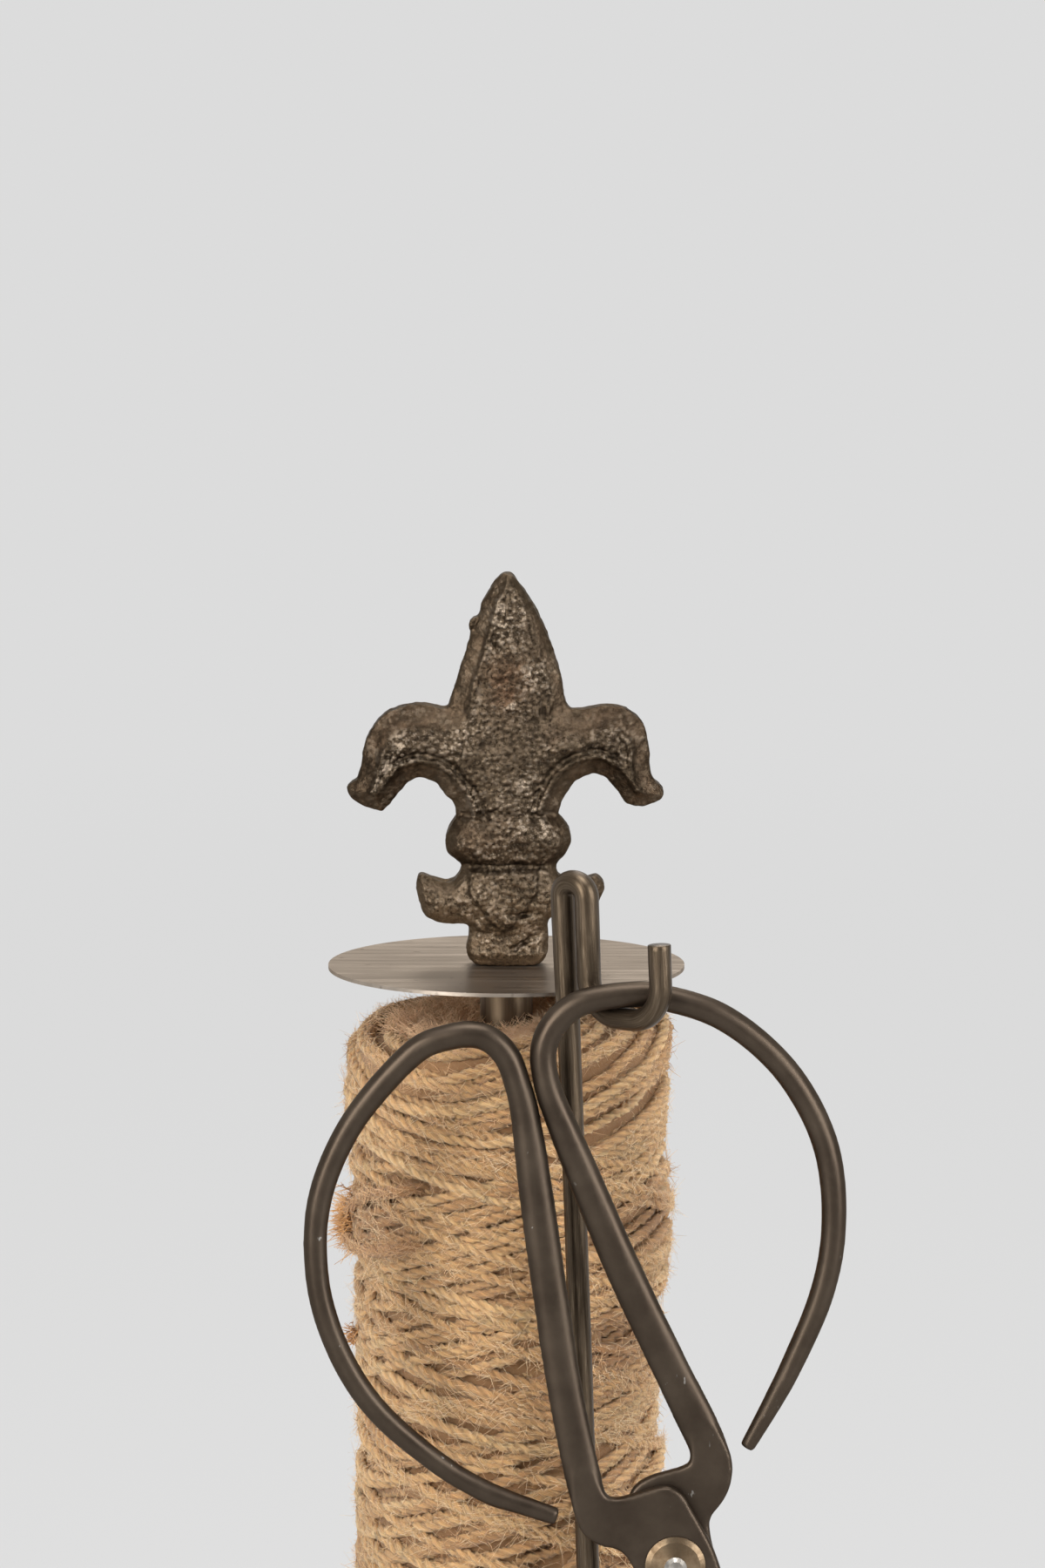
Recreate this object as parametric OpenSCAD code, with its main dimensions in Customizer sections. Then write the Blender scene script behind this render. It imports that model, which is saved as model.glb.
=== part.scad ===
// String holder: a round cast foot carries a post for a roll of twine, a sheet disc and a
// fleur-de-lis finial, and a bent rod beside the roll hooks up a pair of looped shears.
// Millimetres. The origin is on the post's axis at the table, +Z is up and -Y is the front.

/* [Foot] */
// Diameter of the cast foot
base_d = 120; // [108:1:150]
// Height of the rounded rim of the foot
rim_h = 7; // [5:0.5:9]
// Height of the casting up to the platform under the twine
platform_h = 11; // [10:0.5:16]
// Thickness of the felt glued under the foot
felt_t = 1.5; // [1:0.1:3]

/* [Post] */
// Diameter of the threaded rod that ties the foot to the finial
tie_rod_d = 6; // [5:0.5:7]
// Outer diameter of the post tube around the rod
post_d = 10; // [9:0.5:14]
// Diameter of the sheet disc on top of the post
disc_d = 68; // [56:1:80]
// Thickness of the sheet disc
disc_t = 0.7; // [0.5:0.1:2]
// Room between the top of the twine and the disc
disc_room = 9.5; // [4:0.1:25]

/* [Twine] */
// Diameter of the roll over its outermost turns
twine_d = 62; // [50:1:72]
// Height of the roll
twine_h = 177; // [120:0.5:200]
// Diameter of one strand
strand_d = 3; // [2:0.1:3.6]
// Turns of the outer strand
twine_turns = 24; // [12:1:24]
// How far each turn of the outer strand swings up and down
lay_swing = 6; // [0:0.5:7]
// How far round the roll the swing wanders from foot to top, in degrees
lay_wander = 300; // [0:10:330]
// Wall of the cardboard tube that the twine is wound on
core_wall = 2; // [1:0.1:3]

/* [Finial] */
// Height of the finial above the disc
finial_h = 75; // [60:1:90]
// Greatest thickness of the finial, front to back
finial_t = 14; // [12:0.5:18]

/* [Hook rod] */
// Diameter of the rod
rod_d = 4; // [3:0.1:5]
// Distance of the rod's foot to the right of the post
foot_x = 17.9; // [5:0.1:25]
// Lean of the rod to the left, in degrees
rod_lean = 2.05; // [0.5:0.05:3]
// Turn of the hook's plane from the right toward the front, in degrees
hook_turn = 42; // [38:0.5:60]
// Width of the narrow top bend, between the centre lines of its legs
top_bend_w = 5.4; // [5.3:0.1:9]
// Length of the short leg between the top bend and the hook
short_leg = 15; // [8:0.1:24]
// Radius of the hook's two bends, to the rod's centre line
hook_bend_r = 7; // [5:0.1:8]
// Straight length of the hook's tip
tip_l = 7.7; // [4:0.1:12]

/* [Shears] */
// Diameter of the wire of the finger loops
loop_wire_d = 4.7; // [3.6:0.1:5.4]
// Size of the finger loops against their drawn form
loop_size = 1; // [0.85:0.01:1.15]
// Thickness of each half at the pivot
plate_t = 3; // [2:0.1:3.6]
// Length of the blades below the pivot
blade_l = 73.5; // [55:0.5:85]
// Lean of the hanging shears to the left, in degrees
shears_lean = 16.4; // [10:0.2:20]
// Height of the blade tips above the table
tips_above = 24.6; // [15:0.2:60]
// Diameter of the pivot rivet
rivet_d = 3.4; // [3:0.1:5]
// Diameter of the dished washers on the rivet
cup_d = 11.2; // [9:0.1:12]
// Thickness of the dished washers
cup_t = 0.8; // [0.5:0.1:1.2]

/* [Fasteners] */
// Width across the flats of the nut under the foot
nut_w = 10; // [9:0.5:13]
// Height of the nut under the foot
nut_h = 5; // [3:0.5:5]
// Diameter of the washer under the foot
washer_d = 16; // [14:0.5:20]
// Thickness of the washer under the foot
washer_t = 1.2; // [0.6:0.1:1.4]
// Width across the flats of the hook rod's nuts
rod_nut_w = 7; // [6.5:0.5:9]
// Height of the hook rod's nuts
rod_nut_h = 3.2; // [2:0.1:4]
// Diameter of the hook rod's washer
rod_washer_d = 9; // [8:0.5:11]
// Thickness of the hook rod's washer
rod_washer_t = 0.8; // [0.5:0.1:1.2]

/* [Fits] */
// Radial clearance of a turning fit
run_fit = 0.05; // [0.02:0.01:0.1]
// Radial clearance of a rod in a drilled hole
drill_fit = 0.2; // [0.1:0.05:0.4]
// Room between pieces that only lie close to each other
apart = 0.3; // [0.2:0.05:0.5]
// Radial room of the twine's tube round the post
core_room = 0.5; // [0.3:0.1:1]
// Room between the two halves of the shears, and under the washer that turns on them
blade_room = 0.1; // [0.05:0.05:0.3]
// Room of the hook beside the wire that hangs in it
hook_room = 1.5; // [1.5:0.1:2.5]
// Room of the hook rod in front of the disc and the twine
rod_room = 1.3; // [0.5:0.1:6]

/* [Hidden] */
$fn = 48;

// Heights from the table up
base_z = felt_t;
platform_z = base_z + platform_h;
twine_z = platform_z + apart;
twine_top = twine_z + twine_h;
disc_z = twine_top + disc_room;
disc_top = disc_z + disc_t;

// Foot
felt_d = base_d - 2 * rim_h;
platform_d = max(twine_d, disc_d) + 2;
thread_end = 0.6;
nut_room = 3;
nut_recess_h = washer_t + nut_h + thread_end;
rod_recess_h = rod_washer_t + rod_nut_h + thread_end;
rod_boss_d = rod_nut_w / cos(30) + 4;
rod_recess_d = max(rod_washer_d, rod_nut_w / cos(30)) + nut_room;
nut_recess_d = max(washer_d, nut_w / cos(30)) + nut_room;

// Twine
core_id = post_d + 2 * core_room;
core_od = core_id + 2 * core_wall;
strand_r = strand_d / 2;
pack_r = twine_d / 2 - strand_d - apart;
pack_round = 5;
wind_r = pack_r + apart + strand_r;
rings_a_turn = 24;
strand_sides = 6;
wind_end = 3.5;
wind_bottom = twine_z + wind_end + strand_r;
wind_rise = twine_h - 2 * wind_end - strand_d;
lay_fade = 0.22;

// Finial, drawn 75 tall and 14 thick
finial_size = finial_h / 75;
finial_deep = finial_t / 14;
finial_bore_h = 14 * finial_size;
thread_spare = 2;
skirt_deep = 0.66;
middle_wide = 0.66;
run_out = 0.05;

// Hook rod, measured in its own leaning plane from the bend above the upper nut
foot_y = -(max(disc_d, twine_d) / 2 + rod_room + rod_d / 2);
elbow_z = platform_z + rod_nut_h + 4;
elbow_r = 20;
hair = 0.02;
run_in = 0.2;
hook_w = (rod_d + loop_wire_d + 2 * hook_room) / sin(hook_turn);
hook_r = min(hook_bend_r, hook_w / 2 - run_in);
saddle_out = top_bend_w + hook_w / 2;
saddle_x = saddle_out * cos(hook_turn);
shears_y = foot_y - saddle_out * sin(hook_turn);

// Shears, drawn round their pivot and hung from one point of the right loop
hang_u = 21.2 * loop_size;
hang_v = 105.15 * loop_size;
hang_x = hang_u * cos(shears_lean) - hang_v * sin(shears_lean);
hang_z = hang_u * sin(shears_lean) + hang_v * cos(shears_lean);
pivot_z = tips_above + blade_l * cos(shears_lean);
wire_z = pivot_z + hang_z;
saddle_z = wire_z - loop_wire_d / 2 - apart - rod_d / 2;
saddle_up = (saddle_z - elbow_z - (elbow_r + saddle_x) * sin(rod_lean)) / cos(rod_lean);
hook_up = saddle_up + hook_r;
saddle_right = (elbow_r + saddle_x) * cos(rod_lean) - elbow_r - saddle_up * sin(rod_lean);
pivot_x = foot_x + saddle_right - hang_x;
wire_r = loop_wire_d / 2;
edge_t = 0.5;
bevel_w = 6;
bevel_top = -15.5;
rivet_head_d = rivet_d + 0.8;
rivet_head_h = 1.2;
cup_rise = 0.8;
cup_y = plate_t + blade_room * 1.5;

// Points of a curve through hand-drawn points, which may carry widths after their places
function along(p, i, t) =
    let (a = p[max(i - 1, 0)], b = p[i], c = p[i + 1], d = p[min(i + 2, len(p) - 1)])
    b + ((c - a) * t + (2 * a - 5 * b + 4 * c - d) * t * t + (3 * b - a - 3 * c + d) * t * t * t) / 2;
function curve(p, steps) =
    concat([for (i = [0:len(p) - 2], k = [0:steps - 1]) along(p, i, k / steps)], [p[len(p) - 1]]);

// A forged bar along hand-drawn points [x, z, half width, half depth, y]: its section is an
// ellipse at power 1, squarer below 1 and ridged above 1
function bulge(s, power) = sign(s) * pow(abs(s), power);
function bar_ring(p, dir, sides, power) =
    let (side = [-dir[1], dir[0]] / norm(dir))
    [for (k = [0:sides - 1])
        let (w = p[2] * bulge(cos(360 * k / sides), power), d = p[3] * bulge(sin(360 * k / sides), power))
        [p[0] + side[0] * w, p[4] + d, p[1] + side[1] * w]];
function heading(c, i) =
    let (a = c[max(i - 1, 0)], b = c[min(i + 1, len(c) - 1)]) [b[0] - a[0], b[1] - a[1]];
module bar(points, steps = 4, sides = 12, power = 1) {
    c = curve(points, steps);
    skin([for (i = [0:len(c) - 1]) bar_ring(c[i], heading(c, i), sides, power)]);
}

// A closed skin over rings of points
module skin(rings) {
    n = len(rings[0]);
    last = len(rings) - 1;
    sides = [for (i = [0:last - 1], k = [0:n - 1]) let (a = i * n + k, b = i * n + (k + 1) % n)
        each [[a, b, a + n], [b, b + n, a + n]]];
    ends = [for (k = [1:n - 2]) each [[0, k + 1, k], [last * n, last * n + k, last * n + k + 1]]];
    polyhedron([for (r = rings) each r], concat(sides, ends));
}

module tube(d, bore, h) {
    difference() {
        cylinder(d = d, h = h);
        translate([0, 0, -1]) cylinder(d = bore, h = h + 2);
    }
}

module nut(w, h, bore) {
    difference() {
        cylinder(d = w / cos(30), h = h, $fn = 6);
        translate([0, 0, -1]) cylinder(d = bore, h = h + 2);
    }
}

// Foot and post
module base_profile() {
    cove = platform_h - rim_h;
    square([base_d / 2 - rim_h / 2, rim_h]);
    translate([base_d / 2 - rim_h / 2, rim_h / 2]) circle(d = rim_h);
    square([platform_d / 2, platform_h]);
    difference() {
        translate([platform_d / 2 - 1, rim_h - 1]) square([cove + 1, cove + 1]);
        translate([platform_d / 2 + cove, platform_h]) circle(r = cove);
    }
}

module base() {
    color([0.2, 0.17, 0.14])
    difference() {
        translate([0, 0, base_z]) union() {
            rotate_extrude($fn = 96) base_profile();
            translate([foot_x, foot_y, rim_h - 1]) cylinder(d = rod_boss_d, h = platform_h - rim_h + 1);
        }
        translate([0, 0, base_z - 1]) cylinder(d = tie_rod_d + 2 * drill_fit, h = platform_h + 2);
        translate([0, 0, base_z - 1]) cylinder(d = nut_recess_d, h = nut_recess_h + 1);
        translate([foot_x, foot_y, base_z - 1]) cylinder(d = rod_d + 2 * drill_fit, h = platform_h + 2);
        translate([foot_x, foot_y, base_z - 1]) cylinder(d = rod_recess_d, h = rod_recess_h + 1);
    }
}

module base_felt() {
    color([0.12, 0.16, 0.13]) cylinder(d = felt_d, h = felt_t, $fn = 96);
}

module base_washer() {
    color([0.6, 0.6, 0.58])
    translate([0, 0, base_z + thread_end + nut_h]) tube(washer_d, tie_rod_d + 2 * drill_fit, washer_t);
}

module base_nut() {
    color([0.6, 0.6, 0.58])
    translate([0, 0, base_z + thread_end]) nut(nut_w, nut_h, tie_rod_d + 2 * run_fit);
}

module tie_rod() {
    foot = base_z + thread_end / 2;
    color([0.55, 0.55, 0.53])
    translate([0, 0, foot]) cylinder(d = tie_rod_d, h = disc_top + finial_bore_h - thread_spare - foot);
}

module spindle_tube() {
    color([0.16, 0.13, 0.11])
    translate([0, 0, platform_z]) tube(post_d, tie_rod_d + 2 * drill_fit, disc_z - platform_z);
}

module top_disc() {
    color([0.36, 0.31, 0.27])
    translate([0, 0, disc_z]) tube(disc_d, tie_rod_d + 2 * drill_fit, disc_t, $fn = 96);
}

// Finial: a ridged spear, two curled arms, a band, two short curls and a round stub. Each leaf has a
// thin skirt to its full outline, as a sand mould draws it, and a narrower middle raised from it.
function longer(p) =
    let (n = len(p) - 1)
    concat([p[0] + (p[0] - p[1]) * run_out], [for (i = [1:n - 1]) p[i]],
        [p[n] + (p[n] - p[n - 1]) * run_out]);
module leaf(points, power) {
    bar([for (p = longer(points)) [p[0], p[1], p[2], p[3] * skirt_deep, p[4]]], steps = 3);
    bar([for (p = points) [p[0], p[1], p[2] * middle_wide, p[3], p[4]]], steps = 3, power = power);
}

module finial_stub() {
    rotate_extrude() polygon([
        [0, 0], [5.2, 0], [6.7, 0.7], [7.6, 2.2], [7.9, 4.2], [7.6, 7], [7.5, 14], [0, 14]
    ]);
}

module finial_spear() {
    leaf([
        [0, 19, 5, 5.6, 0], [0, 30, 6, 6, 0], [0, 40, 9.6, 6.8, 0], [0, 48.6, 11.5, 7, 0],
        [0, 55, 9.4, 6.2, 0], [0, 64, 7, 4.8, 0], [0, 70, 4.7, 3.2, 0], [0, 75, 0.4, 0.5, 0]
    ], power = 1.25);
}

module finial_arm() {
    leaf([
        [5.4, 27, 3.8, 4, 0], [5.8, 30.4, 4, 4.4, 0], [8.6, 36.4, 4.4, 4.8, 0], [12.3, 41.4, 5.8, 5, 0],
        [17.4, 43.5, 6.9, 5.2, 0], [22.4, 40.7, 5.6, 4.9, 0], [24.3, 36, 3.7, 4.2, 0],
        [26.6, 33.1, 2.9, 3.4, 0], [30, 33.2, 0.9, 1.8, 0]
    ], power = 0.8);
}

module finial_band() {
    bar([
        [-11.6, 23.9, 2.2, 4.4, 0], [-10.6, 23.9, 3.4, 6, 0], [-6, 23.9, 4.2, 7, 0],
        [6, 23.9, 4.2, 7, 0], [10.6, 23.9, 3.4, 6, 0], [11.6, 23.9, 2.2, 4.4, 0]
    ], steps = 2, power = 0.8);
}

module finial_tail() {
    bar([
        [0, 23, 8, 5.4, 0], [0, 18.8, 8.4, 5.6, 0], [0, 12, 8, 5.2, 0], [0, 8, 6, 4.4, 0]
    ], steps = 2, power = 0.8);
}

module finial_curl() {
    leaf([
        [3, 17.5, 3.4, 4.4, 0], [7.6, 13.4, 4.2, 4.8, 0], [12.3, 12.8, 3.6, 4.4, 0],
        [15.6, 14.6, 2.4, 3.4, 0], [17.2, 17.2, 0.8, 1.6, 0]
    ], power = 0.8);
}

module finial() {
    color([0.28, 0.22, 0.17])
    translate([0, 0, disc_top + run_fit])
    difference() {
        scale(finial_size) union() {
            finial_stub();
            scale([1, finial_deep / finial_size, 1]) {
                finial_spear();
                finial_band();
                finial_tail();
                for (flip = [0, 1]) {
                    mirror([flip, 0, 0]) finial_arm();
                    mirror([flip, 0, 0]) finial_curl();
                }
            }
        }
        translate([0, 0, -1]) cylinder(d = tie_rod_d + 2 * run_fit, h = finial_bore_h + 1);
    }
}

// Twine: the wound mass is plain and only its outer strand is laid turn by turn
module twine_core() {
    color([0.6, 0.5, 0.36])
    translate([0, 0, twine_z]) tube(core_od, core_id, twine_h - strand_d);
}

module twine_pack() {
    hole = core_od / 2 + run_fit;
    color([0.52, 0.41, 0.28])
    translate([0, 0, twine_z]) rotate_extrude($fn = 96) {
        translate([hole, 0]) square([pack_r - hole - pack_round, twine_h]);
        translate([hole, pack_round]) square([pack_r - hole, twine_h - 2 * pack_round]);
        for (z = [pack_round, twine_h - pack_round]) translate([pack_r - pack_round, z]) circle(pack_round);
    }
}

// The swing of the strand's turns fades out toward both ends of the roll
function swing_left(s) = min(1, min(s, 1 - s) / lay_fade);
function strand_at(a) =
    let (s = a / (360 * twine_turns))
    [wind_r * cos(a), wind_r * sin(a),
        wind_bottom + s * wind_rise + lay_swing * swing_left(s) * sin(a + lay_wander * s)];
function strand_ring(p, dir, a) =
    let (out = [cos(a), sin(a), 0], up = cross(dir, out) / norm(cross(dir, out)))
    [for (k = [0:strand_sides - 1])
        p + strand_r * (out * cos(360 * k / strand_sides) - up * sin(360 * k / strand_sides))];

wind_step = 360 / rings_a_turn;
wind_last = twine_turns * rings_a_turn;
wind_points = [for (i = [0:wind_last]) strand_at(i * wind_step)];
wind_dirs = [for (i = [0:wind_last])
    let (d = wind_points[min(i + 1, wind_last)] - wind_points[max(i - 1, 0)]) d / norm(d)];
strand_gap = min([for (i = [0:wind_last - rings_a_turn], j = [-6:min(6, wind_last - rings_a_turn - i)])
    norm(wind_points[i] - wind_points[i + rings_a_turn + j])]) - strand_d;
echo("least gap of the strand to itself", strand_gap);
echo("gap of the strand to the wound mass", wind_r - strand_r - pack_r);
echo("pivot of the shears", [pivot_x, shears_y, pivot_z]);

module twine_winding() {
    start = strand_ring(wind_points[0] - strand_d * wind_dirs[0], wind_dirs[0], 0);
    end = strand_ring(wind_points[wind_last] + strand_d * wind_dirs[wind_last], wind_dirs[wind_last], 0);
    turns = [for (i = [0:wind_last]) strand_ring(wind_points[i], wind_dirs[i], i * wind_step)];
    color([0.7, 0.57, 0.4]) skin(concat([start], turns, [end]));
}

// Hook rod: upright through the foot, a slight elbow, then the top bend and the hook in one turned plane.
// The straight lengths are a hair thinner than the bends and run into them, so they weld cleanly.
module bend(r, angle) {
    rotate([90, 0, 0]) rotate_extrude(angle = angle) translate([r, 0]) circle(d = rod_d);
}

module rod_length(from, to) {
    translate([0, 0, from]) cylinder(d = rod_d - hair, h = to - from);
}

module hook_rod() {
    top_up = hook_up + short_leg;
    color([0.5, 0.46, 0.42])
    translate([foot_x, foot_y, 0]) {
        rod_length(base_z + thread_end / 2, elbow_z + run_in);
        translate([-elbow_r, 0, elbow_z]) bend(elbow_r, rod_lean);
        translate([-elbow_r, 0, elbow_z]) rotate([0, -rod_lean, 0]) translate([elbow_r, 0, 0])
            rotate([0, 0, -hook_turn]) {
                rod_length(-run_in, top_up + run_in);
                translate([top_bend_w / 2, 0, top_up]) bend(top_bend_w / 2, 180);
                translate([top_bend_w, 0, 0]) rod_length(hook_up - run_in, top_up + run_in);
                translate([top_bend_w + hook_r, 0, hook_up]) rotate([180, 0, 180]) bend(hook_r, 90);
                translate([top_bend_w, 0, hook_up - hook_r]) rotate([0, 90, 0])
                    rod_length(hook_r - run_in, hook_w - hook_r + run_in);
                translate([top_bend_w + hook_w - hook_r, 0, hook_up]) rotate([180, 0, 0]) bend(hook_r, 90);
                translate([top_bend_w + hook_w, 0, 0]) rod_length(hook_up - run_in, hook_up + tip_l);
            }
    }
}

module hook_nuts() {
    color([0.6, 0.6, 0.58])
    for (z = [base_z + thread_end, platform_z])
        translate([foot_x, foot_y, z]) nut(rod_nut_w, rod_nut_h, rod_d + 2 * run_fit);
}

module hook_washer() {
    color([0.6, 0.6, 0.58])
    translate([foot_x, foot_y, base_z + thread_end + rod_nut_h])
        tube(rod_washer_d, rod_d + 2 * drill_fit, rod_washer_t);
}

// Shears: each half is one forging, from the free end of its loop round to its blade tip
module at_pivot() {
    translate([pivot_x, shears_y, pivot_z]) rotate([0, -shears_lean, 0]) children();
}

// A drawn point of a loop, with the wire's half width and half depth and its set to one face
function wire(u, v, w, d, y) =
    [u * loop_size, v * loop_size, w * wire_r, d * wire_r, y * (plate_t + blade_room)];

module blade_plate(upper, spine) {
    edge_top = [-6, bevel_top];
    edge_tip = [-0.4, -blade_l];
    edge_lean = atan2(edge_tip[0] - edge_top[0], edge_top[1] - edge_tip[1]);
    translate([0, -blade_room / 2, 0]) difference() {
        rotate([90, 0, 0]) linear_extrude(plate_t)
            polygon(concat(curve(upper, 4), [for (p = spine) [p[0], -p[1] * blade_l]], [edge_tip, edge_top]));
        translate([edge_top[0], 0, edge_top[1]]) rotate([0, -edge_lean, 0]) mirror([0, 0, 1])
            linear_extrude(blade_l) polygon([
                [-4, -edge_t], [0, -edge_t], [bevel_w, -plate_t], [bevel_w, -plate_t - 1], [-4, -plate_t - 1]
            ]);
        rotate([90, 0, 0]) translate([0, 0, -1]) cylinder(d = rivet_d + 2 * run_fit, h = plate_t + 2);
    }
}

blade_spine = [[7.7, 0.08], [6.9, 0.3], [5, 0.68], [2.4, 0.9]];

module scissors_left() {
    color([0.13, 0.13, 0.13]) at_pivot() {
        bar([
            wire(-18.6, 14.5, 0.7, 0.7, -0.1), wire(-29.6, 22.5, 0.84, 0.84, 0),
            wire(-37.2, 30.8, 0.88, 0.88, 0), wire(-45.1, 43.6, 0.9, 0.9, 0), wire(-48.6, 56.6, 0.9, 0.9, 0),
            wire(-48.4, 70.2, 0.9, 0.9, 0), wire(-43.8, 84.2, 0.92, 0.92, 0), wire(-34, 96.3, 0.95, 0.95, 0),
            wire(-20.2, 105.4, 0.98, 0.98, 0), wire(-12.6, 106.8, 1, 1, 0), wire(-6.4, 105.3, 1.02, 1.02, 0),
            wire(-3.1, 100.7, 1.02, 1.02, 0), wire(-2.6, 94.5, 1.02, 1.02, 0), wire(-2.95, 88.5, 1.12, 1, 0),
            wire(-4.9, 75.5, 1.3, 0.96, -0.05), wire(-7.75, 56.5, 1.35, 0.86, -0.15),
            wire(-10.45, 36.6, 1.36, 0.74, -0.35), wire(-11.85, 19, 1.4, 0.62, -0.5),
            wire(-11.6, 12.9, 1.1, 0.5, -0.5)
        ], steps = 3, power = 0.9);
        blade_plate([
            [-7.1, -1.5], [-7.8, 2.6], [-9.2, 5.6], [-12.6, 7.7], [-14.7, 10.6], [-15.2, 14.4], [-14.9, 18],
            [-13.4, 22], [-10.2, 21.5], [-8.7, 16.4], [-6.6, 15], [0, 15], [3, 14.5], [5.1, 12.3], [6, 8.7],
            [7.5, 1.7], [7.8, -3.5]
        ], blade_spine);
    }
}

module scissors_right() {
    color([0.13, 0.13, 0.13]) at_pivot() {
        bar([
            wire(18.8, 17, 0.58, 0.6, 0.1), wire(30.4, 28.9, 0.84, 0.84, 0), wire(40.9, 42.2, 0.93, 0.93, 0),
            wire(46.6, 55.1, 0.96, 0.96, 0), wire(48.6, 69.1, 1, 1, 0), wire(45.3, 83.7, 1, 1, 0),
            wire(37.2, 96, 1, 1, 0), wire(27, 103.05, 1, 1, 0), wire(21.2, 105.15, 1, 1, 0),
            wire(13, 106.05, 1, 1, 0), wire(7.4, 103.9, 1.02, 1.02, 0), wire(3.9, 99.9, 1.02, 1.02, 0),
            wire(2.7, 94.5, 1.02, 1.02, 0), wire(2.8, 88.5, 1.1, 1, 0), wire(4.15, 75.5, 1.27, 0.96, 0.05),
            wire(6.25, 56.5, 1.38, 0.86, 0.15), wire(9.05, 37.7, 1.42, 0.74, 0.35),
            wire(11.8, 20.5, 1.5, 0.62, 0.5), wire(12, 14.1, 1.2, 0.5, 0.5)
        ], steps = 3, power = 0.9);
        mirror([1, 0, 0]) mirror([0, 1, 0]) blade_plate([
            [-7.4, -1.5], [-7.65, 2.8], [-8.6, 6], [-11.7, 8.4], [-13.9, 11], [-15.3, 14.6], [-15.3, 18.4],
            [-13.6, 23.5], [-10, 23.1], [-8.4, 18.2], [-7, 16.7], [-1, 16.6], [1.8, 16.2], [4, 15],
            [5.4, 12.3], [6.1, 8.7], [7.5, 1.7], [7.8, -3.5]
        ], blade_spine);
    }
}

module pivot_washers() {
    color([0.4, 0.34, 0.26]) at_pivot() for (flip = [0, 1]) mirror([0, flip, 0])
        translate([0, -cup_y, 0]) rotate([90, 0, 0]) rotate_extrude() polygon([
            [rivet_d / 2 + run_fit, cup_rise], [rivet_d / 2 + run_fit, cup_rise + cup_t],
            [cup_d / 2 - 1, cup_t], [cup_d / 2, 0.3], [cup_d / 2, 0], [cup_d / 2 - 1, 0]
        ]);
}

module pivot_rivet() {
    head_y = cup_y + cup_rise + cup_t;
    color([0.55, 0.52, 0.48]) at_pivot() {
        translate([0, head_y, 0]) rotate([90, 0, 0]) cylinder(d = rivet_d, h = 2 * head_y);
        for (flip = [0, 1]) mirror([0, flip, 0]) translate([0, -head_y, 0]) rotate([90, 0, 0])
            rotate_extrude() polygon([
                [0, 0], [rivet_head_d / 2, 0], [rivet_head_d / 2, 0.3],
                [rivet_head_d / 3, rivet_head_h * 0.8], [0, rivet_head_h]
            ]);
    }
}

base();
base_felt();
tie_rod();
spindle_tube();
top_disc();
finial();
base_nut();
base_washer();
twine_core();
twine_pack();
twine_winding();
hook_rod();
hook_nuts();
hook_washer();
scissors_left();
scissors_right();
pivot_rivet();
pivot_washers();
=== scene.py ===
# %% [markdown]
# # A string holder for a shop counter
# The real thing is a small stand: a cast foot, a post with a roll of jute twine, a sheet disc and a cast
# fleur-de-lis on top. A bent rod beside the roll hooks up a pair of black forged shears.
# The solids of the part come in first as a fixed frame. Every piece made below is in the same frame, so it
# goes where the solids say and nothing is fitted by eye.

import math

import bpy
import numpy as np
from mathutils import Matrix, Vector


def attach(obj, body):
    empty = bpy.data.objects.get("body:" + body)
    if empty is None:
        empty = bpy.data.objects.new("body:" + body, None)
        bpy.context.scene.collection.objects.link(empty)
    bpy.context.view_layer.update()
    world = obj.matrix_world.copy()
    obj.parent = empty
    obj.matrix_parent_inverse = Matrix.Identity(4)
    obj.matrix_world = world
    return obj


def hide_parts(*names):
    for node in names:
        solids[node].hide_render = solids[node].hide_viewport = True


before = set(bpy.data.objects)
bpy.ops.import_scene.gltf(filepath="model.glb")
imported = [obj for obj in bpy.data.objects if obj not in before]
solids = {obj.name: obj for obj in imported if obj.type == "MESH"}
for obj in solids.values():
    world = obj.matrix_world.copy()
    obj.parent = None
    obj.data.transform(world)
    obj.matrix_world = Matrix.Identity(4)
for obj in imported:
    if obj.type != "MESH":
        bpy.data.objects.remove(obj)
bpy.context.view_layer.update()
MM = 0.001
print("solids in the frame:", len(solids))

# %% [markdown]
# ## The camera
# The photo was taken from the front, about eight degrees above level, with a long lens: the disc shows as a
# thin ellipse and its near and far edges are almost equally wide. A long lens far away gives that flat look.
# The place was worked out from the disc's width, its height in the picture and the lean of the ellipse.

# %% Set up the camera
LOOK_DOWN = 7.85
camera_data = bpy.data.cameras.new("photo_camera")
camera_data.sensor_fit = "VERTICAL"
camera_data.sensor_height = 36
camera_data.lens = 144.84
camera = bpy.data.objects.new("photo_camera", camera_data)
camera.location = Vector((3.0775, -1188.755, 398.489)) * MM
camera.rotation_euler = (math.radians(90 - LOOK_DOWN), 0, 0)
bpy.context.scene.collection.objects.link(camera)
bpy.context.scene.camera = camera
print("camera at", [round(v, 3) for v in camera.location], "metres")

# %% [markdown]
# ## Light and background
# The photo is a cut-out on even pale grey, lit by large soft lights. In a studio the backdrop is pale and the
# room behind the camera is dark, and that is why black metal shows narrow highlights on a dark body. The
# world does the same: pale grey behind the object, darker in front, for the camera and for mirror-like rays.
# Matt surfaces get an even, weaker light from it. The side lights are tall strips, because an upright wire
# mirrors only what stands at its own height.

# %% Light the studio
PALE = 0.716
scene = bpy.context.scene
scene.view_settings.view_transform = "Standard"


def add(tree, kind, values=None, **settings):
    """A new node of a kind, with its socket values and settings."""
    made = tree.nodes.new("ShaderNode" + kind)
    for name, value in settings.items():
        setattr(made, name, value)
    for name, value in (values or {}).items():
        made.inputs[name].default_value = value
    return made


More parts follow.
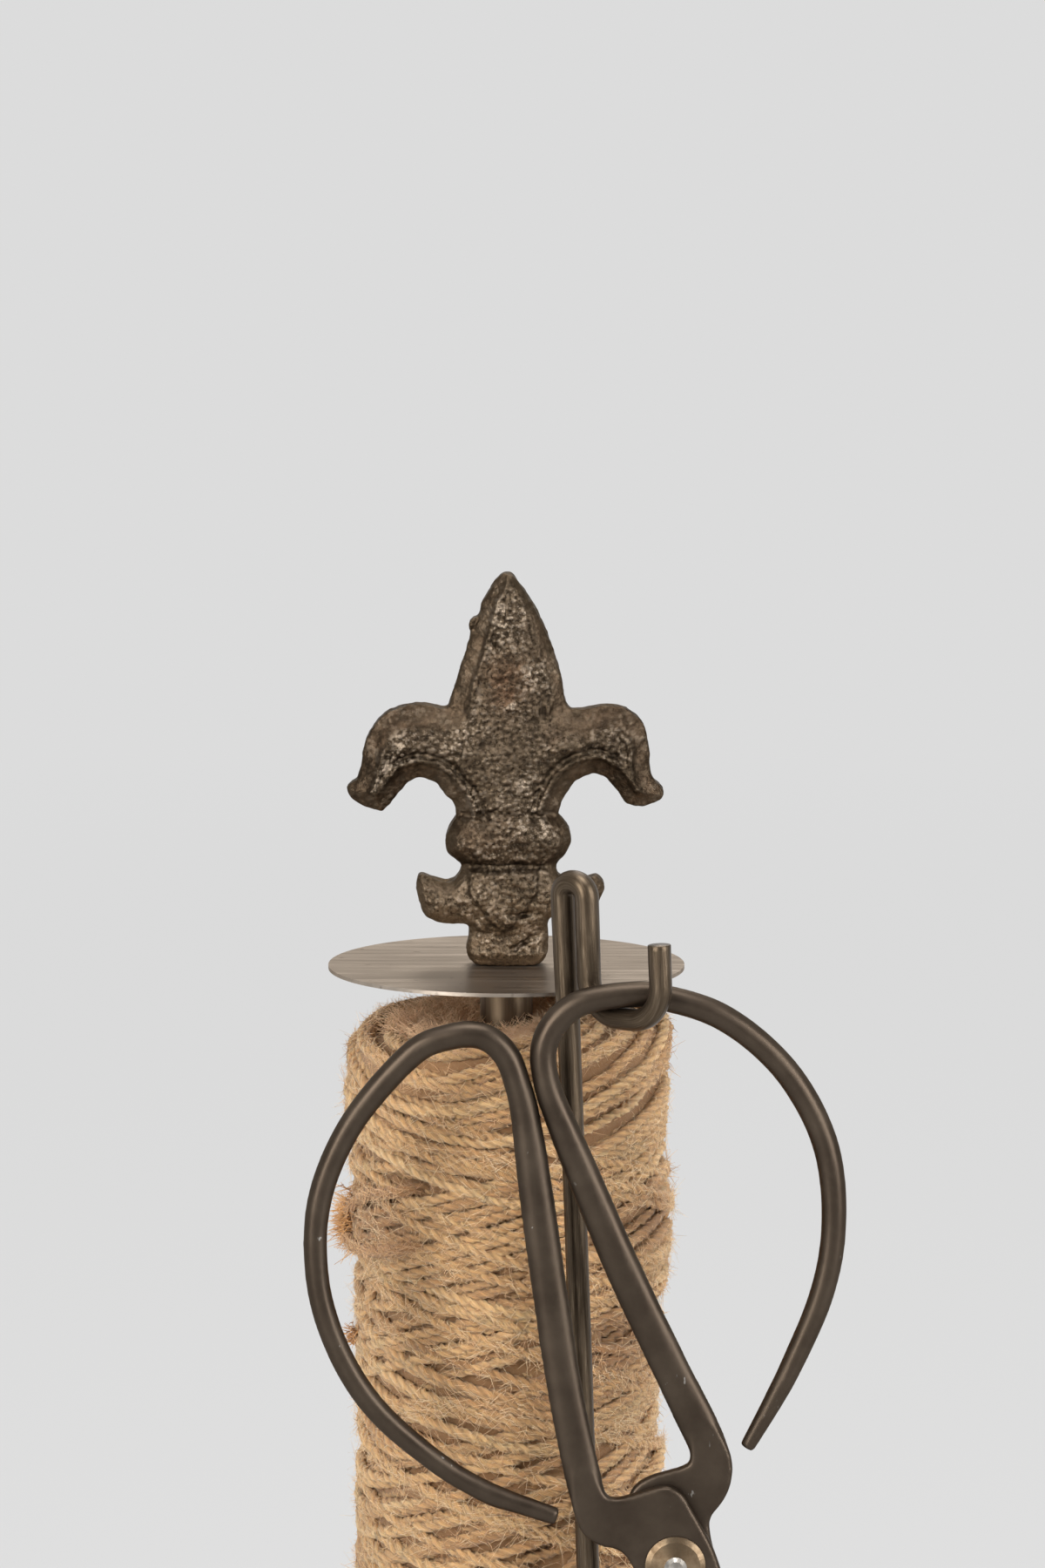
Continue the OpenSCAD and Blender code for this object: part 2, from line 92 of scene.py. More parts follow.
def seen_directly(tree):
    """1 for rays from the camera, from gloss and through glass, and 0 for the light on matt surfaces."""
    path = add(tree, "LightPath")
    either = add(tree, "Math", operation="MAXIMUM")
    tree.links.new(path.outputs["Is Camera Ray"], either.inputs[0])
    tree.links.new(path.outputs["Is Glossy Ray"], either.inputs[1])
    any_of = add(tree, "Math", operation="MAXIMUM")
    tree.links.new(either.outputs[0], any_of.inputs[0])
    tree.links.new(path.outputs["Is Transmission Ray"], any_of.inputs[1])
    return any_of.outputs[0]


world = bpy.data.worlds.new("pale_studio")
world.use_nodes = True
scene.world = world
sky = world.node_tree
backdrop = sky.nodes["Background"]
heading = add(sky, "SeparateXYZ")
sky.links.new(add(sky, "TexCoord").outputs["Generated"], heading.inputs[0])
room = add(sky, "ValToRGB")
for key, (place, grey) in zip(room.color_ramp.elements, ((0.36, 0.1), (0.62, PALE))):
    key.position, key.color = place, (grey, grey, grey, 1)
half_turn = add(sky, "MapRange", {"From Min": -1.0, "From Max": 1.0})
sky.links.new(heading.outputs["Y"], half_turn.inputs["Value"])
sky.links.new(half_turn.outputs[0], room.inputs[0])
sky.links.new(room.outputs[0], backdrop.inputs["Color"])
ambient = add(sky, "Background", {"Color": (1, 0.985, 0.96, 1), "Strength": 0.32})
shown = add(sky, "MixShader")
sky.links.new(seen_directly(sky), shown.inputs[0])
sky.links.new(ambient.outputs[0], shown.inputs[1])
sky.links.new(backdrop.outputs[0], shown.inputs[2])
sky.links.new(shown.outputs[0], sky.nodes["World Output"].inputs["Surface"])


def softbox(name, place, aim, size, power, warmth=(1, 1, 1)):
    """A soft light, wide and tall, at a place in metres, turned to its aim."""
    data = bpy.data.lights.new(name, "AREA")
    data.shape = "RECTANGLE"
    data.size, data.size_y = size
    data.energy = power
    data.color = warmth
    lamp = bpy.data.objects.new(name, data)
    lamp.location = place
    lamp.rotation_euler = (Vector(aim) - Vector(place)).to_track_quat("-Z", "Y").to_euler()
    bpy.context.scene.collection.objects.link(lamp)


HEART = (0, 0, 0.17)
softbox("softbox_left", (-0.8, -1.0, 0.62), HEART, (0.45, 1.1), 17, (1, 0.98, 0.95))
softbox("softbox_right", (0.95, -0.75, 0.55), HEART, (0.4, 1.0), 13)
softbox("softbox_top", (0.05, -0.2, 1.25), HEART, (0.7, 0.7), 9)
softbox("softbox_back", (0.1, 0.9, 1.15), HEART, (0.5, 0.5), 4)
print("softboxes:", len(bpy.data.lights))

# %% [markdown]
# ## The floor
# The floor is one wide disc that fills the picture behind the object. Its finish is mostly plain grey light
# for the camera and a little real matt surface, which keeps the shadow under the foot. Farther out the
# lamps no longer reach it, so the share of plain light grows there.

# %% Lay the floor
floor_finish = bpy.data.materials.new("pale_floor")
floor_finish.use_nodes = True
ground = floor_finish.node_tree
ground.nodes.remove(ground.nodes["Principled BSDF"])
matt = add(ground, "BsdfDiffuse", {"Color": (0.7, 0.7, 0.7, 1)})
glow = add(ground, "Emission", {"Color": (PALE, PALE, PALE, 1)})
even = add(ground, "MixShader")
share = add(ground, "Math", operation="MULTIPLY")
apart = add(ground, "VectorMath", operation="LENGTH")
ground.links.new(add(ground, "TexCoord").outputs["Object"], apart.inputs[0])
far = add(ground, "MapRange", {"From Min": 0.2, "From Max": 1.8, "To Min": 0.88, "To Max": 1.0})
ground.links.new(apart.outputs["Value"], far.inputs["Value"])
ground.links.new(far.outputs[0], share.inputs[1])
ground.links.new(seen_directly(ground), share.inputs[0])
ground.links.new(share.outputs[0], even.inputs[0])
ground.links.new(matt.outputs[0], even.inputs[1])
ground.links.new(glow.outputs[0], even.inputs[2])
ground.links.new(even.outputs[0], ground.nodes["Material Output"].inputs["Surface"])
FLOOR_R = 60
bpy.ops.mesh.primitive_circle_add(vertices=96, radius=FLOOR_R, fill_type="NGON", location=(0, 0, -0.0002))
floor = bpy.context.object
floor.name = "floor"
floor.data.materials.append(floor_finish)
print("floor radius in metres:", FLOOR_R)

# %% [markdown]
# ## Helpers for shapes
# Most pieces here are swept or sculpted from points, so a few small helpers are shared: a smooth random
# field for grain and wear, a smooth curve through given points, the length along a path, and two soft
# steps that fade one form into another.

# %% Helpers for curves
def scramble(cells, seed):
    """A whole number that looks random for each cell of a grid."""
    mix = (cells * np.array([374761393, 668265263, 2246822519])).sum(1) + seed * 3266489917
    mix &= 0xFFFFFFFF
    return (mix ^ mix >> 13) * 1274126177 & 0xFFFFFFFF


def speckle(points, size, seed=0):
    """Smooth random values from -1 to 1 at points in millimetres, in lumps about size wide."""
    p = np.asarray(points, float) / size + 1000.5
    cell = np.floor(p).astype(np.int64)
    t = p - cell
    t = t * t * (3 - 2 * t)
    total = np.zeros(len(p))
    for corner in range(8):
        step = np.array([corner & 1, corner >> 1 & 1, corner >> 2])
        mix = scramble(cell + step, seed)
        value = (mix ^ mix >> 16 & 0xFFFF) % 65536 / 32767.5 - 1
        total += value * np.prod(np.where(step, t, 1 - t), axis=1)
    return total


def flow(points, steps, closed=False):
    """A smooth curve through given points, which may carry widths after their places."""
    p = np.asarray(points, float)
    n = len(p)
    spans = range(n if closed else n - 1)
    t = np.linspace(0, 1, steps, endpoint=False)[:, None]
    runs = []
    for i in spans:
        near = [(i + k) % n if closed else min(max(i + k, 0), n - 1) for k in (-1, 0, 1, 2)]
        a, b, c, d = p[near]
        bend = (c - a) * t + (2 * a - 5 * b + 4 * c - d) * t**2 + (3 * b - a - 3 * c + d) * t**3
        runs.append(b + bend / 2)
    return np.concatenate(runs if closed else runs + [p[-1:]])


def unit(v):
    return v / np.maximum(np.linalg.norm(v, axis=-1, keepdims=True), 1e-12)


def in_line(v):
    """Numbers as points on a line, for a random field that runs along something."""
    return np.stack([v, 0 * v, 0 * v], 1)


def run_of(path):
    """How far along a path each of its points lies."""
    return np.concatenate([[0], np.cumsum(np.linalg.norm(np.diff(path, axis=0), axis=1))])


def bell(v, middle, width):
    return np.exp(-(((v - middle) / width) ** 2))


def ease(v, low, high):
    """0 below low, 1 above high and smooth between."""
    t = np.clip((v - low) / (high - low), 0, 1)
    return t * t * (3 - 2 * t)


print("curve helpers ready")

# %% [markdown]
# A sweep is made in two steps: rings of points along a path, then a skin over the rings. Forms that have to
# flow into one another are joined and covered with small even faces instead.

# %% Helpers for meshes
def rings_along(path, out, wide, deep, turn):
    """Rings of points round a path: wide along out, deep across it, at the angles in turn."""
    ahead = unit(np.gradient(path, axis=0))
    across = unit(out - (out * ahead).sum(1, keepdims=True) * ahead)
    beside = np.cross(ahead, across)
    c, s = np.cos(turn), np.sin(turn)
    return path[:, None] + across[:, None] * (wide * c)[..., None] + beside[:, None] * (deep * s)[..., None]


def skin(rings):
    """Points and faces of a closed skin over rings of points, with flat ends."""
    count, sides = rings.shape[:2]
    k = np.arange(sides)
    a = np.arange(count - 1)[:, None] * sides + k
    b = np.arange(count - 1)[:, None] * sides + (k + 1) % sides
    quads = np.stack([a, b, b + sides, a + sides], -1).reshape(-1, 4).tolist()
    last = (count - 1) * sides
    return rings.reshape(-1, 3), quads + [list(range(sides))[::-1], list(range(last, last + sides))]


def piece(name, points, faces, body, slot, finish, stands_for=(), sharp=None):
    """A named piece from points in millimetres, riding on a body. Edges over sharp degrees stay sharp."""
    mesh = bpy.data.meshes.new(name)
    mesh.from_pydata((np.asarray(points) * MM).tolist(), [], faces)
    mesh.shade_smooth()
    if sharp:
        mesh.set_sharp_from_angle(angle=math.radians(sharp))
    mesh.materials.append(finish)
    made = bpy.data.objects.new(name, mesh)
    bpy.context.scene.collection.objects.link(made)
    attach(made, body)
    if stands_for:
        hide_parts(*stands_for)
    print(name, "has", len(mesh.polygons), "faces")
    return made


def mark(made, name, values):
    """Keeps one number per point, which a finish can read."""
    made.data.attributes.new(name, "FLOAT", "POINT").data.foreach_set("value", np.asarray(values, np.float32))


def even_faces(parts, voxel):
    """Closed forms joined into one and covered with small even faces: points in millimetres and faces."""
    points, faces, start = [], [], 0
    for p, f in parts:
        points.append(p)
        faces += [[v + start for v in face] for face in f]
        start += len(p)
    rough = bpy.data.meshes.new("rough")
    rough.from_pydata((np.concatenate(points) * MM).tolist(), [], faces)
    holder = bpy.data.objects.new("rough", rough)
    bpy.context.scene.collection.objects.link(holder)
    covering = holder.modifiers.new("even", "REMESH")
    covering.mode = "VOXEL"
    covering.voxel_size = voxel * MM
    done = holder.evaluated_get(bpy.context.evaluated_depsgraph_get()).to_mesh()
    made = np.zeros(len(done.vertices) * 3)
    done.vertices.foreach_get("co", made)
    quads = [list(f.vertices) for f in done.polygons]
    bpy.data.objects.remove(holder)
    bpy.data.meshes.remove(rough)
    return made.reshape(-1, 3) / MM, quads


def relaxed(points, faces, rounds):
    """Points drawn toward the middle of their neighbours, which takes off facets."""
    pairs = np.array([(f[k], f[k - 1]) for f in faces for k in range(len(f))])
    a, b = pairs[:, 0], pairs[:, 1]
    count = np.bincount(a, minlength=len(points)) + np.bincount(b, minlength=len(points))
    p = points.copy()
    for _ in range(rounds):
        near = np.stack([
            np.bincount(a, p[b, k], len(p)) + np.bincount(b, p[a, k], len(p)) for k in range(3)
        ], 1)
        p += 0.5 * (near / np.maximum(count, 1)[:, None] - p)
    return p


def face_normals_at(points, faces):
    """The direction out of the surface at each point."""
    f = np.array(faces)
    n = np.cross(points[f[:, 2]] - points[f[:, 0]], points[f[:, 3]] - points[f[:, 1]])
    total = np.zeros_like(points)
    for k in range(4):
        for axis in range(3):
            total[:, axis] += np.bincount(f[:, k], n[:, axis], len(points))
    return unit(total)


print("mesh helpers ready")

# %% [markdown]
# ## Helpers for finishes
# A finish is a Principled shader fed by a few noise patterns. The patterns read the object's own
# coordinates, which are in metres, so a scale of 500 gives lumps of about two millimetres.

# %% Helpers for finishes
def new_finish(name, metal, rough, **fixed):
    """A finish with its fixed values on the shader's own sockets. Returns it with its tree and shader."""
    made = bpy.data.materials.new(name)
    made.use_nodes = True
    shader = made.node_tree.nodes["Principled BSDF"]
    shader.inputs["Metallic"].default_value = metal
    shader.inputs["Roughness"].default_value = rough
    for socket, value in fixed.items():
        shader.inputs[socket.replace("_", " ")].default_value = value
    return made, made.node_tree, shader


def place_of(tree, stretch=(1, 1, 1)):
    """The object's coordinates, stretched."""
    where = add(tree, "TexCoord")
    mapped = add(tree, "Mapping", {"Scale": stretch})
    tree.links.new(where.outputs["Object"], mapped.inputs["Vector"])
    return mapped.outputs[0]


def noise(tree, where, scale, detail=4, rough=0.6):
    made = add(tree, "TexNoise", {"Scale": scale, "Detail": detail, "Roughness": rough})
    tree.links.new(where, made.inputs["Vector"])
    return made.outputs["Fac"]


def ramp(tree, value, *stops):
    """A ramp of colours or greys: stops of (place, colour or grey)."""
    made = add(tree, "ValToRGB")
    keys = made.color_ramp.elements
    while len(keys) < len(stops):
        keys.new(0.5)
    for key, (place, colour) in zip(keys, stops):
        key.position = place
        key.color = (*colour, 1) if hasattr(colour, "__len__") else (colour, colour, colour, 1)
    tree.links.new(value, made.inputs[0])
    return made.outputs[0]


def blend(tree, share, first, second):
    """Two colours mixed. Each is a socket or a plain colour, and so is the share a socket or a number."""
    made = add(tree, "Mix", data_type="RGBA")
    for socket, value in ((made.inputs[0], share), (made.inputs[6], first), (made.inputs[7], second)):
        if hasattr(value, "is_output"):
            tree.links.new(value, socket)
        elif hasattr(value, "__len__"):
            socket.default_value = (*value, 1)
        else:
            socket.default_value = value
    return made.outputs[2]


def sums(tree, how, first, second):
    made = add(tree, "Math", operation=how)
    for socket, value in zip(made.inputs, (first, second)):
        if hasattr(value, "is_output"):
            tree.links.new(value, socket)
        else:
            socket.default_value = value
    return made.outputs[0]


def kept(tree, name):
    """A number that mark() kept on the points."""
    return add(tree, "Attribute", attribute_name=name).outputs["Fac"]


def raise_by(tree, shader, height, strength, reach):
    """Bump from a height pattern, reach in millimetres."""
    made = add(tree, "Bump", {"Strength": strength, "Distance": reach * MM})
    tree.links.new(height, made.inputs["Height"])
    tree.links.new(made.outputs[0], shader.inputs["Normal"])


def dress(finish, *names):
    """Puts a finish on solids that stay as they are."""
    for name in names:
        solids[name].data.materials.clear()
        solids[name].data.materials.append(finish)


def one_grain(name, metal, rough, grain, colours, roughs, bump, dressed, **fixed):
    """A finish from one noise pattern, put on solids. The grain is its stretch, scale and detail."""
    made, tree, shader = new_finish(name, metal, rough, **fixed)
    stretch, scale, detail = grain
    pattern = noise(tree, place_of(tree, stretch), scale, detail)
    tree.links.new(ramp(tree, pattern, *colours), shader.inputs["Base Color"])
    if roughs:
        tree.links.new(ramp(tree, pattern, *roughs), shader.inputs["Roughness"])
    raise_by(tree, shader, pattern, *bump)
    dress(made, *dressed)


print("finish helpers ready")

# %% [markdown]
# ## Cast iron
# The foot and the finial are sand castings. The finish is dark brown and a little metallic, with a smoother,
# redder skirt round the raised faces. The glitter of the sand's grain on the raised faces is a painted
# highlight, lighter specks in the colour, and the hollows between grains are painted shade.

# %% Mix the cast iron
def blend_of(first, second, share):
    """A plain colour between two plain colours."""
    return tuple(a + (b - a) * share for a, b in zip(first, second))


def scaled(colour, by):
    return tuple(by * c for c in colour)


def cast_finish(name, dark, light, rust, with_relief):
    made, tree, shader = new_finish(name, 0.86, 0.45, Specular_Tint=(0.45, 0.42, 0.38, 1))
    where = place_of(tree)
    coarse = noise(tree, where, 420, 5, 0.65)
    fine = noise(tree, where, 1500, 3, 0.7)
    colour = ramp(tree, coarse, (0.3, dark), (0.72, light))
    stain = ramp(tree, noise(tree, where, 70, 3), (0.55, 0.0), (0.8, 0.22))
    colour = blend(tree, stain, colour, rust)
    # painted shade: the low points of the fine bump are darkened
    painted_pit_shade = ramp(tree, fine, (0.37, 0.85), (0.48, 0.0))
    patchy = ramp(tree, noise(tree, where, 110, 3), (0.42, 0.15), (0.6, 1.0))
    # painted highlight: lighter specks on the high points of the fine bump, in patches
    painted_glints = sums(tree, "MULTIPLY", ramp(tree, fine, (0.55, 0.0), (0.66, 0.65)), patchy)
    depth = sums(tree, "ADD", fine, sums(tree, "MULTIPLY", coarse, 0.7))
    if with_relief:
        raised = kept(tree, "raised")
        grain = kept(tree, "grain")
        skirt = ramp(tree, coarse, (0.32, dark), (0.76, blend_of(blend_of(dark, light, 0.8), rust, 0.18)))
        colour = blend(tree, raised, skirt, colour)
        # painted highlight: the crests of the sand grain are made lighter
        colour = blend(tree, ramp(tree, grain, (0.4, 0.0), (0.75, 0.25)), colour, scaled(light, 1.4))
        # painted light: the stub, and a little the middle, are made lighter against the shade on them
        colour = blend(tree, kept(tree, "wear_and_painted_light"), colour, scaled(light, 1.9))
        rusted = sums(tree, "MULTIPLY", kept(tree, "rust"), ramp(tree, coarse, (0.35, 0.05), (0.65, 0.75)))
        colour = blend(tree, rusted, colour, rust)
        share = sums(tree, "ADD", sums(tree, "MULTIPLY", raised, 0.75), 0.25)
        # painted shade: the hollows of the sand grain are darkened too
        painted_pit_shade = sums(tree, "MAXIMUM", painted_pit_shade, ramp(tree, grain, (0.15, 0.6), (0.4, 0.0)))
        # painted highlight on the crests of the sand grain, in patches
        painted_crest_glints = sums(tree, "MULTIPLY", ramp(tree, grain, (0.58, 0.0), (0.86, 0.52)), patchy)
        painted_glints = sums(tree, "MAXIMUM", sums(tree, "MULTIPLY", painted_glints, 0.55), painted_crest_glints)
        painted_pit_shade, painted_glints = sums(tree, "MULTIPLY", painted_pit_shade, share), sums(tree, "MULTIPLY", painted_glints, share)
    # the painted shade darkens the colour here
    colour = blend(tree, painted_pit_shade, colour, scaled(dark, 0.4))
    # the painted highlights are mixed toward a pale brown here
    tree.links.new(blend(tree, painted_glints, colour, (0.42, 0.34, 0.26)), shader.inputs["Base Color"])
    tree.links.new(ramp(tree, painted_glints, (0.0, 0.33), (0.8, 0.24)), shader.inputs["Roughness"])
    raise_by(tree, shader, depth, 0.8, 0.3)
    return made


cast_brown = cast_finish(
    "cast_brown", (0.026, 0.0178, 0.011), (0.085, 0.061, 0.039), (0.13, 0.063, 0.033), with_relief=True)
cast_foot = cast_finish(
    "cast_foot", (0.06, 0.045, 0.033), (0.15, 0.118, 0.088), (0.14, 0.07, 0.035), with_relief=False)
dress(cast_foot, "base")
print("cast finishes:", cast_brown.name, cast_foot.name)

# %% [markdown]
# ## The finial
# The fleur-de-lis is a flat casting: seen from the front it has a drawn outline, a sloping skirt inside
# that outline, a thin bead, and a grainy raised middle. Modelling each leaf by hand would lose the way the
# skirt follows the outline everywhere, so the outline is drawn once, made into an even mesh, and each point
# is lifted by how far it lies inside the outline. A small nub of casting flash on the left edge is part of
# the outline, but not of the skirt's line.

# %% Draw the finial's outline
FINIAL_FOOT = 200.05
finial_outline = [
    (0, 74.9), (1, 74.6), (1.8, 73.9), (2.8, 72.6), (4.4, 70), (6.3, 66.8), (8.6, 61), (10.1, 56.2),
    (11.2, 51), (12.2, 49.2), (14.6, 49.1), (19.3, 49.8), (23.4, 48.8), (26, 45.9), (27, 42),
    (27.2, 37.9), (27.8, 35.9), (29.3, 34.4), (29.9, 33.2), (29.2, 31.9), (26.6, 30.7), (22.9, 31.1),
    (21.1, 33.6), (18.7, 36.2), (16.2, 36.9), (12.9, 35.1), (10.7, 31.9), (9.9, 29), (11.1, 27.6),
    (12, 25.6), (12.1, 23.6), (11.2, 21.4), (9.5, 19.5), (9.7, 17.6), (11.5, 16.4), (14.3, 16.4),
    (16.2, 16.9), (17.4, 17), (18.6, 15.6), (18.2, 13.6), (17, 11.5), (15, 9.8), (12, 9), (8.6, 9.1),
    (7.8, 7.4), (8, 4.4), (7.9, 2.4), (6.6, 0.5), (4, 0.05), (-4, 0.05), (-6.2, 0.5), (-7.6, 2.6),
    (-7.2, 5.4), (-7.5, 7.9), (-11.5, 8), (-15.3, 9.4), (-17, 13.6), (-17, 16.7), (-16, 17.5),
    (-14.4, 16.7), (-10.9, 15.9), (-9, 17.4), (-8.5, 19.3), (-10.4, 20.9), (-11.5, 22.5), (-11.3, 25.4),
    (-10.1, 27.7), (-9.4, 29), (-10, 31), (-11.6, 33), (-13.8, 35.4), (-17.6, 35.9), (-20.5, 33),
    (-22.7, 30.5), (-24.3, 29.8), (-27.2, 30.7), (-29.8, 32.5), (-30.3, 34), (-29.6, 34.9), (-28.4, 35.7),
    (-27.6, 38.3), (-26.4, 43.6), (-23.3, 47.9), (-17.9, 50), (-13.4, 49.5), (-11.2, 49.4), (-10.4, 51.2),
    (-8.7, 57.1), (-6.7, 63.4), (-6.9, 64.4), (-6.8, 65.6), (-6.3, 66.4), (-5.3, 66.9), (-4.2, 70),
    (-2.6, 72.6), (-1.7, 73.9), (-1, 74.6),
]
FLASH = [(-6.9, 64.4), (-6.8, 65.6), (-6.3, 66.4)]
finial_rim = flow(finial_outline, 4, closed=True)
plain_rim = flow([point for point in finial_outline if point not in FLASH], 4, closed=True)
print("finial outline points:", len(finial_rim))

# %% [markdown]
# The relief is half the casting's thickness at each place. The skirt rises from the edge, a bead runs along
# its top, and the middle swells inside it. Then come the band, the grooves, the petal, the round stub and a
# flaw where the iron did not fill the mould.

# %% Lift the relief
def inside_rim(x, z):
    """How far points lie inside the finial's outline, and the way in from the nearest bit of it."""
    best = np.full(len(x), 1e9)
    way_in = np.zeros((len(x), 2))
    for start, step in zip(plain_rim, np.roll(plain_rim, -1, axis=0) - plain_rim):
        t = np.clip(((x - start[0]) * step[0] + (z - start[1]) * step[1]) / (step @ step), 0, 1)
        d = np.hypot(x - start[0] - t * step[0], z - start[1] - t * step[1])
        way_in[d < best] = np.array([step[1], -step[0]]) / np.linalg.norm(step)
        best = np.minimum(best, d)
    return best, way_in[:, 0], way_in[:, 1]


def finial_relief(x, z):
    """Half the finial's thickness at a place, and how much of the raised middle it is."""
    d, in_x, in_z = inside_rim(x, z)
    leaf_top = ease(-in_z, 0.1, 0.7) * ease(z, 36, 38) * ease(54 - z, 0, 2)
    spear = ease(z, 48, 52)
    skirt = np.interp(z, [0, 19, 20.5, 27.5, 29.5, 60, 75], [1.6, 1.6, 2.2, 2.2, 3.0, 3.0, 1.6])
    skirt += 0.9 * leaf_top - 0.9 * spear * (in_x < 0)
    up = np.clip(d / skirt, 0, 1)
    inner = np.maximum(d - skirt, 0)
    half = 2.3 + 2.1 * (up**0.75 * (1 - leaf_top) + ease(up, 0, 1) * leaf_top)
    bead = (1 - leaf_top) * (1 - spear * np.where(in_x > 0, 0.35, 0.8)) * (z > 29)
    half += bead * (1.05 * bell(d, skirt + 0.5, 0.6) - 0.55 * bell(d, skirt + 1.8, 0.55))
    half += 2.4 * (1 - np.exp(-inner / 4.2))
    band = np.clip(1 - ((z - 24.2) / 4.4) ** 2, 0, 1)
    half += 0.9 * band**0.5 * np.clip(d / 2, 0, 1)
    seam = z + 0.35 * speckle(in_line(x), 2.4, 9)
    half -= (0.6 * bell(seam, 29.1, 0.8) + 0.7 * bell(seam, 19.4, 0.9)) * (np.abs(x) < 12.5)
    petal = 7.0 - np.abs(x + 0.6) - np.maximum(14.4 - z, 0) * 0.74
    half += 0.8 * ease(petal, 0, 1.1) * ease(18.9 - z, 0, 0.9) * ease(z, 3.5, 5)
    stub = ease(9 - z, 0, 3) * (np.abs(x) < 8.6)
    round_stub = 0.62 * np.sqrt(np.maximum(70 - x**2, 1)) * (0.72 + 0.28 * ease(z, 0, 2.8))
    round_stub -= 0.3 * ease(z, 2.2, 3.4)
    half = half * (1 - stub) + stub * round_stub
    wander = 0.5 * speckle(np.stack([x, z, z * 0], 1), 1.3, 5)
    half -= 1.9 * bell(z + wander, 10.4, 0.5) * bell(x, 2.9, 1.9)
    half -= 1.8 * bell(z - 0.62 * x + wander, 2.6, 0.5) * bell(x, 2.9, 1.5)
    return half, np.clip((d - skirt + 0.4) / 0.9, 0, 1)


print("half thickness at the band:", finial_relief(np.zeros(1), np.full(1, 24.2))[0].round(1))

# %% [markdown]
# Sand leaves a crust of rounded grains. They are cut into the mesh as real bumps, strongest on the raised
# middle, with slow waves below them and worn edges outside. The points also keep marks for the finish: what
# is raised, the grain, where painted light makes the stub and middle lighter against their shade, and where
# rust stays.

# %% Cast the finial
def pebbles(points, size, seed=0):
    """Rounded grains about size wide: high in the middle of each grain and low between grains."""
    p = np.asarray(points, float) / size + 500.5
    cell = np.floor(p).astype(np.int64)
    best = np.full(len(p), 9.0)
    for corner in range(27):
        near = cell + np.array([corner % 3, corner // 3 % 3, corner // 9]) - 1
        mix = scramble(near, seed)
        spot = np.stack([mix & 1023, mix >> 10 & 1023, mix >> 20 & 1023], 1) / 1023
        best = np.minimum(best, ((near + spot - p) ** 2).sum(1))
    return 1 - np.sqrt(best)


SLAB, FINIAL_FACE = 5.0, 0.28
slab_rings = np.stack([
    np.stack([finial_rim[:, 0], np.full(len(finial_rim), y), finial_rim[:, 1]], 1) for y in (SLAB, -SLAB)
])
finial_points, finial_faces = even_faces([skin(slab_rings)], FINIAL_FACE)
half_thick, raised = finial_relief(finial_points[:, 0], finial_points[:, 2])
share_of_half = np.clip(finial_points[:, 1] / SLAB, -1, 1)
lumps = speckle(finial_points * (0.8, 0.8, 1.1), 1.7, 12)
grain = 0.65 * pebbles(finial_points * (0.9, 0.9, 1.1), 0.85, 1) + 0.15 * lumps
sand = 1.05 * (grain - grain.mean()) + 0.12 * speckle(finial_points, 0.5, 2)
waves = 0.26 * speckle(finial_points, 4.5, 3) + 0.16 * speckle(finial_points, 2.1, 13)
finial_points[:, 1] = share_of_half * (half_thick + (0.25 + 0.75 * raised) * sand + waves)
outward = face_normals_at(finial_points, finial_faces)
edge_wear = 0.2 * speckle(finial_points, 1.9, 4) + 0.1 * speckle(finial_points, 0.8, 6)
outward[:, 2] *= finial_points[:, 2] > 1
finial_points += outward * (edge_wear * (1 - raised))[:, None]
finial_points[:, 2] = np.clip(finial_points[:, 2], 0.02, 74.95) + FINIAL_FOOT
finial_cast = piece(
    "finial_casting", finial_points, finial_faces, "finial", "cast_finial", cast_brown, ["finial"])
mark(finial_cast, "raised", raised)
mark(finial_cast, "grain", 0.5 + 0.25 * (grain - grain.mean()) / grain.std())
# painted light: lighter at the stub and a little in the middle, none on the arms
low, far = ease(FINIAL_FOOT + 21 - finial_points[:, 2], 0, 9), ease(np.abs(finial_points[:, 0]), 10, 19)
mark(finial_cast, "wear_and_painted_light", 0.2 * (1 - far) * (1 - low) + 0.6 * low)
rusty = bell(finial_points[:, 0], 0.3, 3.5) * bell(finial_points[:, 2] - FINIAL_FOOT, 54.5, 4.5)
mark(finial_cast, "rust", rusty)

# %% [markdown]
# ## The disc and the post
# The disc is plain sheet with a satin, slightly streaked surface that mirrors the stub above it. The streaks
# come from noise stretched along the sheet. The post is a dark painted tube.

# %% Finish the disc and the post
sheet_steel, tree, shader = new_finish("sheet_steel", 1.0, 0.36, Specular_Tint=(0.5, 0.45, 0.4, 1))
streaks = noise(tree, place_of(tree, (25, 420, 420)), 1, 5)
blotches = ramp(tree, noise(tree, place_of(tree), 60, 4), (0.4, 0.0), (0.7, 0.35))
tone = ramp(tree, streaks, (0.3, (0.4, 0.34, 0.28)), (0.7, (0.54, 0.465, 0.39)))
spots = ramp(tree, noise(tree, place_of(tree), 330, 2), (0.66, 0.0), (0.72, 0.55))
tone = blend(tree, spots, tone, (0.2, 0.165, 0.135))
tree.links.new(blend(tree, blotches, tone, (0.31, 0.26, 0.215)), shader.inputs["Base Color"])
tree.links.new(ramp(tree, streaks, (0.3, 0.28), (0.7, 0.4)), shader.inputs["Roughness"])
raise_by(tree, shader, streaks, 0.12, 0.1)
dress(sheet_steel, "top_disc")
one_grain(
    "dark_steel", 0.85, 0.42, ((500, 500, 25), 1, 4), ((0.3, (0.09, 0.06, 0.036)), (0.72, (0.27, 0.2, 0.13))),
    ((0.3, 0.36), (0.7, 0.55)), (0.2, 0.1), ["spindle_tube"])
print("disc and post finished")

# %% [markdown]
# ## The hook rod
# The rod is drawn steel, bent cold: upright out of the foot, a slight lean, a narrow bend at the top and an
# open hook turned toward the front. A tube swept along the same bends as the solid takes a cut tip, legs
# that bulge a little below the top bend, and the small ripples of a hand-bent rod.

